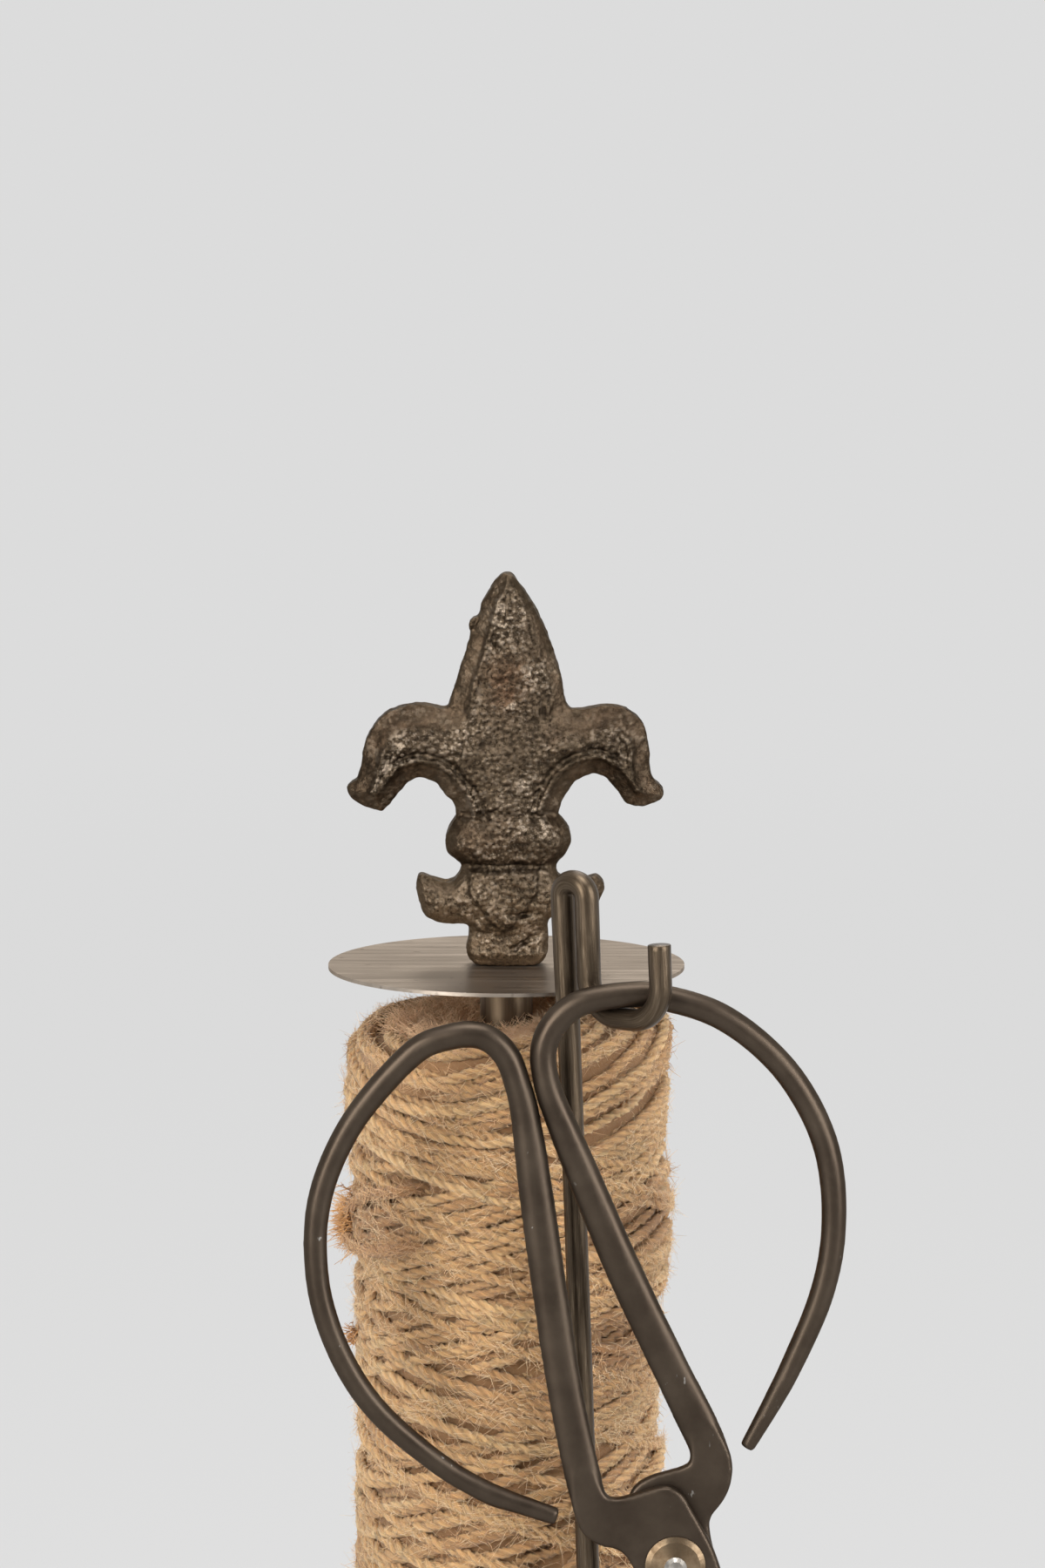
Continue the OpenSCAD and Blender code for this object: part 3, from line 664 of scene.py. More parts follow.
# %% Bend the hook rod
ROD_R = 2.15
ROD_FOOT = np.array([17.9, -37.3])
ELBOW_Z, ELBOW_R, LEAN = 19.7, 20.0, math.radians(2.05)
HOOK_TURN = math.radians(42)
TOP_W, HOOK_W, HOOK_R = 5.4, 11.7 / math.sin(HOOK_TURN), 7.0
SHORT_LEG, TIP = 14.9, 7.6
SADDLE_Z = 197.42


def arc(centre, r, start, end, step=0.5):
    """Points of a bend in the rod's own plane, angles in degrees."""
    a = np.radians(np.linspace(start, end, max(8, int(abs(end - start) * math.pi * r / 180 / step))))
    return np.stack([centre[0] + r * np.cos(a), centre[1] + r * np.sin(a)], 1)


def leg(across, heights):
    """Points of a straight length of the rod in its own plane."""
    return np.stack([np.full(len(heights), float(across)), heights], 1)


saddle_x = (TOP_W + HOOK_W / 2) * math.cos(HOOK_TURN)
saddle_up = (SADDLE_Z - ELBOW_Z - (ELBOW_R + saddle_x) * math.sin(LEAN)) / math.cos(LEAN)
hook_up = saddle_up + HOOK_R
top_up = hook_up + SHORT_LEG
flat = np.concatenate([
    leg(0, np.linspace(0, top_up - 0.8, 180)),
    arc((TOP_W / 2, top_up), TOP_W / 2, 180, 0, 0.3),
    leg(TOP_W, np.linspace(top_up - 1, hook_up + 1, 16)),
    arc((TOP_W + HOOK_R, hook_up), HOOK_R, 180, 270),
    arc((TOP_W + HOOK_W - HOOK_R, hook_up), HOOK_R, 270, 360),
    leg(TOP_W + HOOK_W, np.append(np.linspace(hook_up + 0.8, hook_up + TIP - 0.12, 8), hook_up + TIP)),
])
bulge = ease(flat[:, 1], top_up - 32, top_up - 2)
flat[:, 0] += bulge * np.interp(flat[:, 0], [0, TOP_W], [-0.38, 0.12]) * (flat[:, 0] < TOP_W + 1)
local = np.stack([flat[:, 0] * math.cos(HOOK_TURN), -flat[:, 0] * math.sin(HOOK_TURN), flat[:, 1]], 1)
lx, lz = local[:, 0] + ELBOW_R, local[:, 2]
leaning = np.stack([
    lx * math.cos(LEAN) - lz * math.sin(LEAN) - ELBOW_R + ROD_FOOT[0], local[:, 1] + ROD_FOOT[1],
    lx * math.sin(LEAN) + lz * math.cos(LEAN) + ELBOW_Z,
], 1)
upright = np.stack(np.broadcast_arrays(*ROD_FOOT, np.linspace(1.8, ELBOW_Z - 0.7, 20)), 1)
rod_path = np.concatenate([upright, leaning])
ROD_SIDES = 24
rod_turn = np.broadcast_to(np.linspace(0, 2 * math.pi, ROD_SIDES, endpoint=False), (len(rod_path), ROD_SIDES))
away = np.array([math.sin(HOOK_TURN), math.cos(HOOK_TURN), 0])
rod_size = np.full((len(rod_path), 1), ROD_R)
rod_size[-len(flat):, 0] += 0.1 * bulge - 0.1 * ease(flat[:, 0], TOP_W, TOP_W + 4)
rod_size[-1] *= 0.94
rod_rings = rings_along(rod_path, np.broadcast_to(away, rod_path.shape), rod_size, rod_size, rod_turn)
ripple = 0.045 * speckle(rod_rings.reshape(-1, 3) * [1, 1, 0.3], 2.2, 8).reshape(rod_rings.shape[:2])
rod_rings += unit(rod_rings - rod_path[:, None]) * ripple[..., None]
print("rod length in millimetres:", round(float(run_of(rod_path)[-1]), 1))

# %% [markdown]
# The rod's finish is a warm dark steel. Drawing leaves long fine lines along the rod, so each point keeps
# how far along and how far round the rod it lies, and the noise is stretched along it.

# %% Finish the hook rod
rod_steel, tree, shader = new_finish("rod_steel", 0.9, 0.46)
along_round = add(tree, "CombineXYZ")
for axis, (name, scale) in enumerate((("along", 0.05), ("round_x", 2.2), ("round_y", 2.2))):
    tree.links.new(sums(tree, "MULTIPLY", kept(tree, name), scale), along_round.inputs[axis])
drawn = noise(tree, along_round.outputs[0], 3.2, 5)
cloud = noise(tree, place_of(tree), 160, 4)
tone = ramp(
    tree, drawn, (0.34, (0.056, 0.039, 0.024)), (0.58, (0.116, 0.085, 0.056)), (0.76, (0.23, 0.178, 0.126)))
tone = blend(tree, ramp(tree, cloud, (0.42, 0.0), (0.66, 0.55)), tone, (0.085, 0.062, 0.042))
tree.links.new(tone, shader.inputs["Base Color"])
tree.links.new(ramp(tree, drawn, (0.3, 0.44), (0.7, 0.3)), shader.inputs["Roughness"])
raise_by(tree, shader, drawn, 0.4, 0.12)
rod = piece("hook_rod_bent", *skin(rod_rings), "stand", "rod_steel", rod_steel, ["hook_rod"], sharp=55)
mark(rod, "along", np.repeat(run_of(rod_path), ROD_SIDES))
mark(rod, "round_x", np.cos(rod_turn).ravel())
mark(rod, "round_y", np.sin(rod_turn).ravel())

# %% [markdown]
# ## The shears
# Each half is one forging: a wire loop that swells into a flat shank, the plate round the pivot and the
# blade. The solid already has the right form in flat facets. A finer sweep of the loop is laid over it, and
# both are joined into one even mesh and relaxed, which gives the soft edges of hammered and ground steel.

# %% Draw the loops of the shears
PIVOT = np.array([31.4226, -46.7633, 95.1096])
SHEARS_LEAN = math.radians(16.4)
WIRE_R, PLATE = 2.35, 3.1
WIRE_OVER, WIRE_SIDES, SHEARS_FACE, SOFTEN_ROUNDS = 1.03, 28, 0.42, 8
left_loop = [
    (-18.6, 14.5, 0.54, 0.6, -0.1), (-24.4, 18.4, 0.68, 0.72, 0), (-29.8, 22.3, 0.76, 0.8, 0),
    (-37.2, 30.8, 0.84, 0.86, 0), (-45.1, 43.6, 0.9, 0.9, 0), (-48.6, 56.6, 0.9, 0.9, 0),
    (-48.4, 70.2, 0.9, 0.9, 0), (-43.8, 84.2, 0.92, 0.92, 0), (-34, 96.3, 0.95, 0.95, 0),
    (-20.2, 105.4, 0.98, 0.98, 0), (-12.6, 106.8, 1, 1, 0), (-6.4, 105.3, 1.02, 1.02, 0),
    (-3.1, 100.7, 1.02, 1.02, 0), (-2.6, 94.5, 1.02, 1.02, 0), (-2.95, 88.5, 1.12, 1, 0),
    (-4.9, 75.5, 1.3, 0.96, -0.05), (-7.75, 56.5, 1.35, 0.86, -0.15), (-10.45, 36.6, 1.36, 0.74, -0.35),
    (-11.85, 19, 1.4, 0.62, -0.5), (-11.6, 12.9, 1.1, 0.5, -0.5),
]
right_loop = [
    (18.8, 17, 0.58, 0.6, 0.1), (30.4, 28.9, 0.84, 0.84, 0), (40.9, 42.2, 0.93, 0.93, 0),
    (46.6, 55.1, 0.96, 0.96, 0), (48.6, 69.1, 1, 1, 0), (45.3, 83.7, 1, 1, 0), (37.2, 96, 1, 1, 0),
    (27, 103.05, 1, 1, 0), (21.2, 105.15, 1, 1, 0), (13, 106.05, 1, 1, 0), (7.4, 103.9, 1.02, 1.02, 0),
    (3.9, 99.9, 1.02, 1.02, 0), (2.7, 94.5, 1.02, 1.02, 0), (2.8, 88.5, 1.1, 1, 0),
    (4.15, 75.5, 1.27, 0.96, 0.05), (6.25, 56.5, 1.38, 0.86, 0.15), (9.05, 37.7, 1.42, 0.74, 0.35),
    (11.8, 20.5, 1.5, 0.62, 0.5), (12, 14.1, 1.2, 0.5, 0.5),
]


def hung(u, v, y):
    """Points drawn round the pivot, at the place and lean in which the shears hang."""
    c, s = math.cos(SHEARS_LEAN), math.sin(SHEARS_LEAN)
    return np.stack([u * c - v * s, y, u * s + v * c], -1) + PIVOT


def loop_sweep(drawn_points):
    """A sweep of a loop, a little over the solid's wire. Its section is slightly squarer than round."""
    line = flow(drawn_points, 14)
    path = hung(line[:, 0], line[:, 1], line[:, 4] * PLATE)
    turn = np.linspace(0, 2 * math.pi, WIRE_SIDES, endpoint=False)
    turn = np.broadcast_to(turn, (len(line), WIRE_SIDES))
    flat_c, flat_s = np.cos(turn), np.sin(turn)
    squarer = np.arctan2(np.sign(flat_s) * abs(flat_s) ** 0.92, np.sign(flat_c) * abs(flat_c) ** 0.92)
    front = np.broadcast_to(np.array([0.0, 1.0, 0.0]), path.shape)
    deep, wide = line[:, 2:3] * WIRE_R * WIRE_OVER, line[:, 3:4] * WIRE_R * WIRE_OVER
    return skin(rings_along(path, front, wide, deep, squarer))


def solid_faces(name):
    """A copy of a solid's points in millimetres and its faces."""
    mesh = solids[name].data
    p = np.zeros(len(mesh.vertices) * 3)
    mesh.vertices.foreach_get("co", p)
    p = p.reshape(-1, 3) / MM
    places, first = np.unique(p.round(4), axis=0, return_inverse=True)
    faces = [[int(first[v]) for v in f.vertices] for f in mesh.polygons]
    return places, [f for f in faces if len(set(f)) == len(f)]


print("loops drawn:", len(left_loop), "and", len(right_loop), "points")

# %% [markdown]
# The shears are blackened steel with a brown cast. Handling has polished the edges of the shanks, so the
# finish reads the mesh's own sharpness and brightens edges there, broken up by noise.

# %% Finish the shears
black_steel, tree, shader = new_finish("black_steel", 0.9, 0.34, Specular_Tint=(0.6, 0.57, 0.53, 1))
cloud = noise(tree, place_of(tree), 120, 5)
fine = noise(tree, place_of(tree), 900, 3)
tone = ramp(tree, cloud, (0.3, (0.056, 0.041, 0.03)), (0.72, (0.084, 0.064, 0.047)))
edge = ramp(tree, add(tree, "NewGeometry").outputs["Pointiness"], (0.6, 0.0), (0.7, 0.55))
scuffs = ramp(tree, noise(tree, place_of(tree, (1, 1, 0.25)), 260, 4), (0.52, 0.0), (0.66, 1.0))
some = ramp(tree, noise(tree, place_of(tree), 60, 2), (0.56, 0.0), (0.64, 1.0))
nicks = ramp(tree, noise(tree, place_of(tree, (1, 1, 0.5)), 800, 2), (0.7, 0.0), (0.76, 0.8))
# real wear here: polished edges and nicks are lighter
wear_and_painted_light = sums(tree, "MAXIMUM", sums(tree, "MULTIPLY", edge, scuffs), sums(tree, "MULTIPLY", nicks, some))
tree.links.new(blend(tree, wear_and_painted_light, tone, (0.42, 0.4, 0.37)), shader.inputs["Base Color"])
tree.links.new(ramp(tree, cloud, (0.3, 0.36), (0.7, 0.48)), shader.inputs["Roughness"])
raise_by(tree, shader, sums(tree, "ADD", sums(tree, "MULTIPLY", fine, 0.3), cloud), 0.16, 0.3)
for name, drawn_points, node, body in (
    ("shears_left", left_loop, "scissors_left", "left_half"),
    ("shears_right", right_loop, "scissors_right", "right_half"),
):
    points, faces = even_faces([solid_faces(node), loop_sweep(drawn_points)], SHEARS_FACE)
    points = relaxed(points, faces, SOFTEN_ROUNDS)
    outward = face_normals_at(points, faces)
    points += outward * (0.07 + 0.03 * speckle(points, 5, 21))[:, None]
    piece(name, points, faces, body, "black_steel", black_steel, [node])

# %% [markdown]
# ## Rivet, washers, nuts and rods
# These small parts keep their solids. The dished washers are dull bronze with darker tarnish, the rivet is
# worn bright, and the nuts are plain steel with a little dirt. The felt and the tube in the roll hardly show.

# %% Finish the small parts
EVEN = (1, 1, 1)
one_grain(
    "aged_brass", 1.0, 0.36, (EVEN, 380, 5), ((0.3, (0.12, 0.08, 0.047)), (0.7, (0.29, 0.215, 0.137))),
    ((0.3, 0.46), (0.7, 0.28)), (0.15, 0.2), ["pivot_washers"])
one_grain(
    "plain_steel", 1.0, 0.32, (EVEN, 420, 4), ((0.32, (0.3, 0.27, 0.235)), (0.65, (0.56, 0.54, 0.5))),
    ((0.3, 0.45), (0.7, 0.24)), (0.12, 0.15),
    ["pivot_rivet", "tie_rod", "base_nut", "base_washer", "hook_nuts", "hook_washer"])
one_grain(
    "felt", 0.0, 0.95, (EVEN, 2200, 4), ((0.3, (0.018, 0.026, 0.02)), (0.7, (0.05, 0.065, 0.052))),
    None, (0.8, 0.25), ["base_felt"], Sheen_Weight=0.3)
one_grain(
    "cardboard", 0.0, 0.85, ((900, 900, 120), 1, 4), ((0.3, (0.26, 0.19, 0.12)), (0.7, (0.4, 0.31, 0.21))),
    None, (0.3, 0.15), ["twine_core"])
print("small parts finished")

# %% [markdown]
# ## Winding the twine
# The roll is cross-wound: each turn of the strand swings up and down, a few turns lie side by side, and then
# the swing shifts, so that bands of strands cross. Drawing the crossings by hand would look false. Instead
# the strand is laid turn by turn on a map of the roll's surface, half a degree by a quarter of a millimetre.
# How far out the roll stands at each height, left and right, was read off the photo.

# %% Map the roll
STRAND_R = 1.14
ROLL_FOOT, ROLL_TOP = 13.0, 188.7
ROUND_STEPS, CELL = 720, 0.25
LAYERS, FOLD_R, ROLL_R = 5.8, 0.8, 24.6
LOW_EDGE, HIGH_EDGE = ROLL_FOOT + LAYERS + FOLD_R, ROLL_TOP - LAYERS - FOLD_R
row_s = np.arange(LOW_EDGE - 26, HIGH_EDGE + 26, CELL)
around = np.radians(np.arange(ROUND_STEPS) * 360 / ROUND_STEPS)
level_at = [
    14, 60, 95, 100, 104, 108, 112, 118, 126, 132, 138, 144, 150, 156, 160, 166, 172, 178, 184, 188,
]
left_r = [
    29, 28.6, 28.4, 28.4, 28.4, 28.4, 28.2, 28.2, 28.3, 28.4, 28.6, 29.2, 29.5, 29.3, 29.4, 29.5, 30.2,
    30.2, 30.1, 29.8,
]
right_r = [
    29, 29.6, 31, 31.4, 30.6, 28.4, 28.4, 28.6, 29.1, 29.8, 30.3, 30.5, 31.4, 31.5, 30.4, 29.9, 30.2,
    30.8, 31.8, 32,
]
to_right = 0.5 + 0.5 * np.cos(around)[:, None]
outline = np.interp(row_s, level_at, left_r) * (1 - to_right) + np.interp(row_s, level_at, right_r) * to_right
spots = np.stack(np.broadcast_arrays(30 * np.cos(around)[:, None], 30 * np.sin(around)[:, None], row_s), -1)
INNER_DEPTH, SNUG_DEPTH = 5.05, 1.0
surface = outline - INNER_DEPTH + 0.3 * speckle(spots.reshape(-1, 3), 14, 31).reshape(spots.shape[:2])
snug = outline - SNUG_DEPTH
print("cells on the map:", surface.size)

# %% [markdown]
# Each stretch of strand rests on the highest thing below it, and then raises the map for what comes after.
# The pull of the strand keeps the roll snug, so a stretch that would stand out too far is drawn in.

# %% Rules for winding
BEDDED, PULL, SETTLE_STEPS, FRONT_LEFT = 0.82, 0.72, 50, 245
SPREAD = np.exp(-((np.arange(-20, 21) / 7.0) ** 2))
SPREAD /= SPREAD.sum()


def wind(heights):
    """Lays a strand whose height is given at each half degree. Returns its distance from the axis."""
    reach = int(STRAND_R / CELL)
    laid, before = [], None
    for start in range(0, len(heights), ROUND_STEPS):
        z = heights[start:start + ROUND_STEPS]
        turn = (start + np.arange(len(z))) % ROUND_STEPS
        row = np.clip(((z - row_s[0]) / CELL).round().astype(int), reach + 1, len(row_s) - reach - 2)
        under = np.max([surface[turn, row + k] for k in range(1 - reach, reach)], axis=0)
        centre = np.convolve(np.pad(under, 20, "edge"), SPREAD, "valid") + STRAND_R * BEDDED
        centre -= PULL * np.maximum(centre - snug[turn, row], 0)
        if before is not None:
            centre += (before - centre[0]) * np.clip(1 - np.arange(len(z)) / SETTLE_STEPS, 0, 1)
        before = centre[-1]
        for k in range(-reach - 1, reach + 2):
            off = row_s[row + k] - z
            top = centre + np.sqrt(np.maximum(STRAND_R**2 - off**2, 0))
            here = np.abs(off) < STRAND_R
            spot = turn[here], row[here] + k
            surface[spot] = np.maximum(surface[spot], top[here])
        laid.append(centre)
    return np.concatenate(laid)


def swing(degrees):
    """A rounded zigzag from -1 to 1, once a turn."""
    return np.arcsin(0.95 * np.sin(np.radians(degrees))) / np.arcsin(0.95)


def layer_heights(turns, from_s, to_s, size, bands, seed):
    """Heights of a layer. Bands are pairs of a height at the front left and the bearing of the lowest point.

    Toward the back the swing is less, so that the bands close there.
    """
    a = np.arange(int(turns * ROUND_STEPS)) / ROUND_STEPS
    level = from_s + (to_s - from_s) * a / turns
    line = in_line(a * 4)
    lowest = np.interp(level, *zip(*bands)) + 15 * speckle(line, 3.1, seed + 2)
    size = size * (1 + 0.22 * speckle(line, 3.7, seed + 3))
    wobble = 0.5 * speckle(line, 1, seed) + 0.2 * speckle(line, 0.23, seed + 1)
    size = size * (1 - 0.6 * ease(np.sin(2 * math.pi * a), -0.25, 1.0))
    return level - size * (swing(360 * a - lowest + 90) - swing(FRONT_LEFT - lowest + 90)) + wobble


print("winding rules ready")

# %% [markdown]
# There are two layers: a close one under the surface, and the surface itself. That one is laid in four open
# passes, two with the slopes seen in the photo and two that cross them, so that gaps stay between strands.

# %% Lay the turns
under_s = layer_heights(97.3, HIGH_EDGE + 9, LOW_EDGE - 3, 10, [(0, 60), (200, 250)], 43)
over_bands = [
    (0, 205), (22, 205), (24, 290), (34, 290), (36, 190), (48, 190), (50, 285), (60, 285), (62, 185),
    (74, 185), (76, 280), (88, 280), (89, 195), (105, 195), (107, 235), (111, 235), (113, 290),
    (128, 290), (129, 178), (137, 178), (138, 285), (143, 285), (144, 182), (159, 188), (161, 285),
    (171, 280), (173, 245), (200, 245),
]
cross_bands = [(level, bearing + 150) for level, bearing in over_bands]
under_r = wind(under_s)
over = []
for i, (turns, size, bands) in enumerate((
    (38.3, 11.5, over_bands), (17.3, 9, cross_bands), (36.3, 11.5, over_bands), (9.3, 9, cross_bands),
)):
    ends = (LOW_EDGE - 1, HIGH_EDGE + 7) if i % 2 == 0 else (HIGH_EDGE - 1, LOW_EDGE + 4)
    heights = layer_heights(turns, *ends, size, bands, 45 + 4 * i)
    over.append((heights, wind(heights)))
wound = sum(2 * math.pi * r.mean() * len(r) / ROUND_STEPS for r in (under_r, *(r for _, r in over)))
print("strand laid in metres:", round(wound * MM, 1))
for z in (30, 90, 120, 150, 175):
    print("roll radius at height", z, "is", round(float(surface[:, np.abs(row_s - z) < 4].mean()), 2))

# %% [markdown]
# At both ends the turns that swing past the edge fold over it. So a height on the map stands for a place
# along the roll's profile: up the side, round the shoulder, and inward over the top. The top is not level:
# it stands about two millimetres higher at the right and the back.

# %% Fold the strand over the edges
FOLD_RUN, SQUARE = 5.2, 0.72


def on_roll(bearing, s, r):
    """Places on the roll and the way out of it, from a bearing, a place along the profile and a radius."""
    lift = r - ROLL_R
    bend_up = np.clip((s - HIGH_EDGE) / FOLD_RUN, 0, math.pi / 2)
    bend_down = np.clip((LOW_EDGE - s) / FOLD_RUN, 0, math.pi / 2)
    past = np.maximum(np.maximum(s - HIGH_EDGE, LOW_EDGE - s) - FOLD_RUN * math.pi / 2, 0)
    side = np.cos(bend_up + bend_down)
    radius = ROLL_R - FOLD_R + (FOLD_R + lift) * side**SQUARE - past
    over_edge = np.sin(bend_up) ** SQUARE - np.sin(bend_down) ** SQUARE
    z = np.clip(s, LOW_EDGE, HIGH_EDGE) + (FOLD_R + lift) * over_edge
    z = z + ease(s, 150, HIGH_EDGE) * (0.9 + 1.2 * np.cos(bearing - math.pi / 4))
    up = np.sin(bend_up) - np.sin(bend_down)
    c, n = np.cos(bearing), np.sin(bearing)
    return np.stack([radius * c, radius * n, z], -1), np.stack([side * c, side * n, up], -1)


print("edges fold at", round(LOW_EDGE, 1), "and", round(HIGH_EDGE, 1))

# %% [markdown]
# ## The jute
# The strand is three plies twisted together, so its section has three lobes that turn along its length. The
# rings of the mesh turn with the twist, and the ridges of the plies then run along the mesh. Each point
# keeps its place along the strand for the fibres, and a tone that varies from stretch to stretch. The valleys
# between the plies are darkened as painted shade. Light goes a little way into jute, so the shader scatters
# it under the surface.

# %% Finish the jute
def jute_finish(name, dark, middle, light):
    made, tree, shader = new_finish(
        name, 0.0, 0.9, Sheen_Weight=0.2, Sheen_Roughness=0.6,
        Subsurface_Weight=0.55, Subsurface_Radius=(1.0, 0.85, 0.7), Subsurface_Scale=1.4 * MM)
    fibre_place = add(tree, "CombineXYZ")
    for axis, (kept_name, scale) in enumerate((("along", 0.25), ("ply_x", 3.4), ("ply_y", 3.4))):
        tree.links.new(sums(tree, "MULTIPLY", kept(tree, kept_name), scale), fibre_place.inputs[axis])
    fibres = noise(tree, fibre_place.outputs[0], 1.6, 6, 0.75)
    stretches = sums(tree, "MULTIPLY", kept(tree, "tone"), 0.22)
    tone = sums(tree, "ADD", sums(tree, "MULTIPLY", fibres, 0.8), stretches)
    colour = ramp(tree, tone, (0.24, dark), (0.42, middle), (0.66, light))
    patches = ramp(tree, noise(tree, place_of(tree), 75, 3), (0.5, 0.0), (0.7, 0.45))
    colour = blend(tree, patches, colour, blend(tree, 0.5, dark, middle))
    # painted shade: the valleys between plies, the heart and the dish are darkened toward dark brown
    painted_shade = ramp(tree, kept(tree, "painted_shade"), (0.15, 0.0), (1.0, 0.55))
    tree.links.new(blend(tree, painted_shade, colour, (0.23, 0.125, 0.052)), shader.inputs["Base Color"])
    raise_by(tree, shader, fibres, 1.0, 0.4)
    return made


def browned(bearing, z):
    """How brown the roll is at a place: three patches seen in the photo."""
    turn = np.degrees(bearing) % 360
    return sum(size * bell(turn, at, wide) * bell(z, level, tall) for at, wide, level, tall, size in (
        (208, 18, 153, 4.5, 2.2), (315, 16, 130, 6, 1.4), (335, 14, 154, 5, 1.2)))


jute = jute_finish("jute", (0.36, 0.18, 0.063), (0.66, 0.38, 0.156), (0.87, 0.605, 0.313))
print("finish mixed:", jute.name)

# %% [markdown]
# One lay is the length in which the plies turn once. The strand also has slubs, where it is thicker or
# thinner, and the twist runs a little faster or slower along it.

# %% Twist the strands
LAY = 8.0


def twisted(name, rings, run, valley, tone, shade, stands_for=()):
    """A strand's piece from its rings, with the marks that the jute finish reads."""
    count, sides = rings.shape[:2]
    made = piece(name, *skin(rings), "twine", "jute", jute, stands_for)
    ply = np.arange(sides) * 2 * math.pi / sides
    mark(made, "along", np.repeat(run, sides))
    mark(made, "ply_x", np.tile(np.cos(ply), count))
    mark(made, "ply_y", np.tile(np.sin(ply), count))
    mark(made, "tone", np.repeat(tone, sides))
    # painted shade: the valleys between the plies, or the shade given, whichever is more
    mark(made, "painted_shade", np.maximum(np.tile(valley * 1.0, count), shade))


def strand(name, s, r, every, sides, tone=0.0, shade=0.0, stands_for=()):
    """A twisted strand along profile places and radii given at each half degree. It starts at the back."""
    keep = np.arange(ROUND_STEPS // 4, len(s), every)
    bearing = keep * 2 * math.pi / ROUND_STEPS
    path, out = on_roll(bearing, s[keep], r[keep])
    run = run_of(path)
    line = in_line(run)
    slub = 1 + 0.14 * speckle(line, 9, len(s) % 97)
    corner = np.arange(sides)
    twist = 2 * math.pi * run / LAY + 0.9 * speckle(line, 7, 57)
    turn = corner * 2 * math.pi / sides + twist[:, None]
    valley = corner % (sides // 3) == 0
    lobes = STRAND_R * np.where(valley, 0.79, 1.06) * slub[:, None]
    rings = rings_along(path, out, lobes, lobes, turn)
    rings += 0.28 * speckle(rings.reshape(-1, 3), 0.8, 51).reshape(rings.shape[:2])[..., None] * out[:, None]
    tone = tone + speckle(line, 23, 7 + len(s) % 89) - browned(bearing, path[:, 2])
    twisted(name, rings, run, valley, tone, shade, stands_for)
    return path, out


lays = []
for i, (heights, radii) in enumerate(over):
    lays.append(strand(f"twine_over_{i + 1}", heights, radii, 4, 9, stands_for=["twine_winding"] * (i == 0)))
lay_under = strand("twine_under", under_s, under_r, 5, 6, tone=-0.1)

# %% [markdown]
# ## The heart and the top of the roll
# Loose fibres mat together between the strands, so the gaps are brown and shallow, not black. The heart
# of the roll stands for that mat: it is the map of the laid strands with its narrow gaps closed, set a little
# deeper than the strands. Below and above, plain rings close it round the cardboard tube.

# %% Fill the roll
def widest(field, reach):
    """The highest value within reach cells of each cell of a map of the roll."""
    for axis in (0, 1):
        field = np.max([np.roll(field, k, axis) for k in range(-reach, reach + 1)], axis=0)
    return field


MAT_DEPTH, GAP_CELLS, HEART_STEPS = 1.85, 6, 180
matted = -widest(-widest(surface, GAP_CELLS), GAP_CELLS) - MAT_DEPTH
mat_rows = np.arange(np.searchsorted(row_s, LOW_EDGE - 4), np.searchsorted(row_s, HIGH_EDGE + 9), 2)
every = ROUND_STEPS // HEART_STEPS
mat_s, mat_r, mat_turn = np.broadcast_arrays(
    row_s[mat_rows, None], matted[::every, mat_rows].T, around[::every])
heart_foot, heart_top = [(7.7, 13.2), (20, 13.2)], [(20.5, 184.6), (12, 185.6), (7.7, 185.6)]
foot_rings, top_rings = (
    np.stack(np.broadcast_arrays(r * np.cos(mat_turn[0]), r * np.sin(mat_turn[0]), z), -1)
    for r, z in (np.array(rings).T[:, :, None] for rings in (heart_foot, heart_top)))
heart_rings = np.concatenate([foot_rings, on_roll(mat_turn, mat_s, mat_r)[0], top_rings])
heart_points = heart_rings.reshape(-1, 3)
k = np.arange(HEART_STEPS)
heart_faces = []
for i in range(len(heart_rings)):
    a, b = i * HEART_STEPS, (i + 1) % len(heart_rings) * HEART_STEPS
    ahead = (k + 1) % HEART_STEPS
    heart_faces += np.stack([a + k, a + ahead, b + ahead, b + k], 1).tolist()
heart_made = piece("twine_heart", heart_points, heart_faces, "twine", "jute", jute, ["twine_pack"])
x, y, z = heart_points.T
# painted shade: the whole heart is darkened fully, as it lies down in the gaps between strands
flat_tone, full_painted_shade = np.full(len(z), -0.9), np.ones(len(z))
for kind, values in (
    ("tone", flat_tone), ("painted_shade", full_painted_shade), ("along", z * 6), ("ply_x", x / 4), ("ply_y", y / 4),
):
    mark(heart_made, kind, values)

# %% [markdown]
# On top of the roll the ends of the inner layers show as a shallow fuzzy dish. A slow spiral of the same
# strand, thirteen turns from the rim inward, makes that dish. Its strands have a darker tone and a painted
# shade, for the shade of the disc above them.

# %% Close the top
TOP_TURNS = 13
top_steps = np.arange(TOP_TURNS * ROUND_STEPS)
top_line = in_line(top_steps / 60.0)
top_in = np.linspace(2, 16, len(top_steps)) + 1.3 * speckle(top_line, 2.6, 62)
top_lift = np.interp(top_in, [0, 6, 12, 17], [4.9, 4.4, 3.9, 3.6]) + 0.6 * speckle(top_line, 1.6, 61)
top_s = HIGH_EDGE + FOLD_RUN * math.pi / 2 + top_in
# painted shade: a darker tone and a shade mark for the disc's shade on the dish
lay_top = strand("twine_top", top_s, ROLL_R + top_lift, 7, 6, tone=-0.5, shade=0.35)

# %% [markdown]
# ## Fuzz
# Jute sheds fibres, and they soften every edge of the roll. Each fibre here is a thin tapered three-sided
# tube, bent once, that starts on a strand and leaves it mostly along the strand.

# %% Rules for fuzz
dice = np.random.default_rng(7)


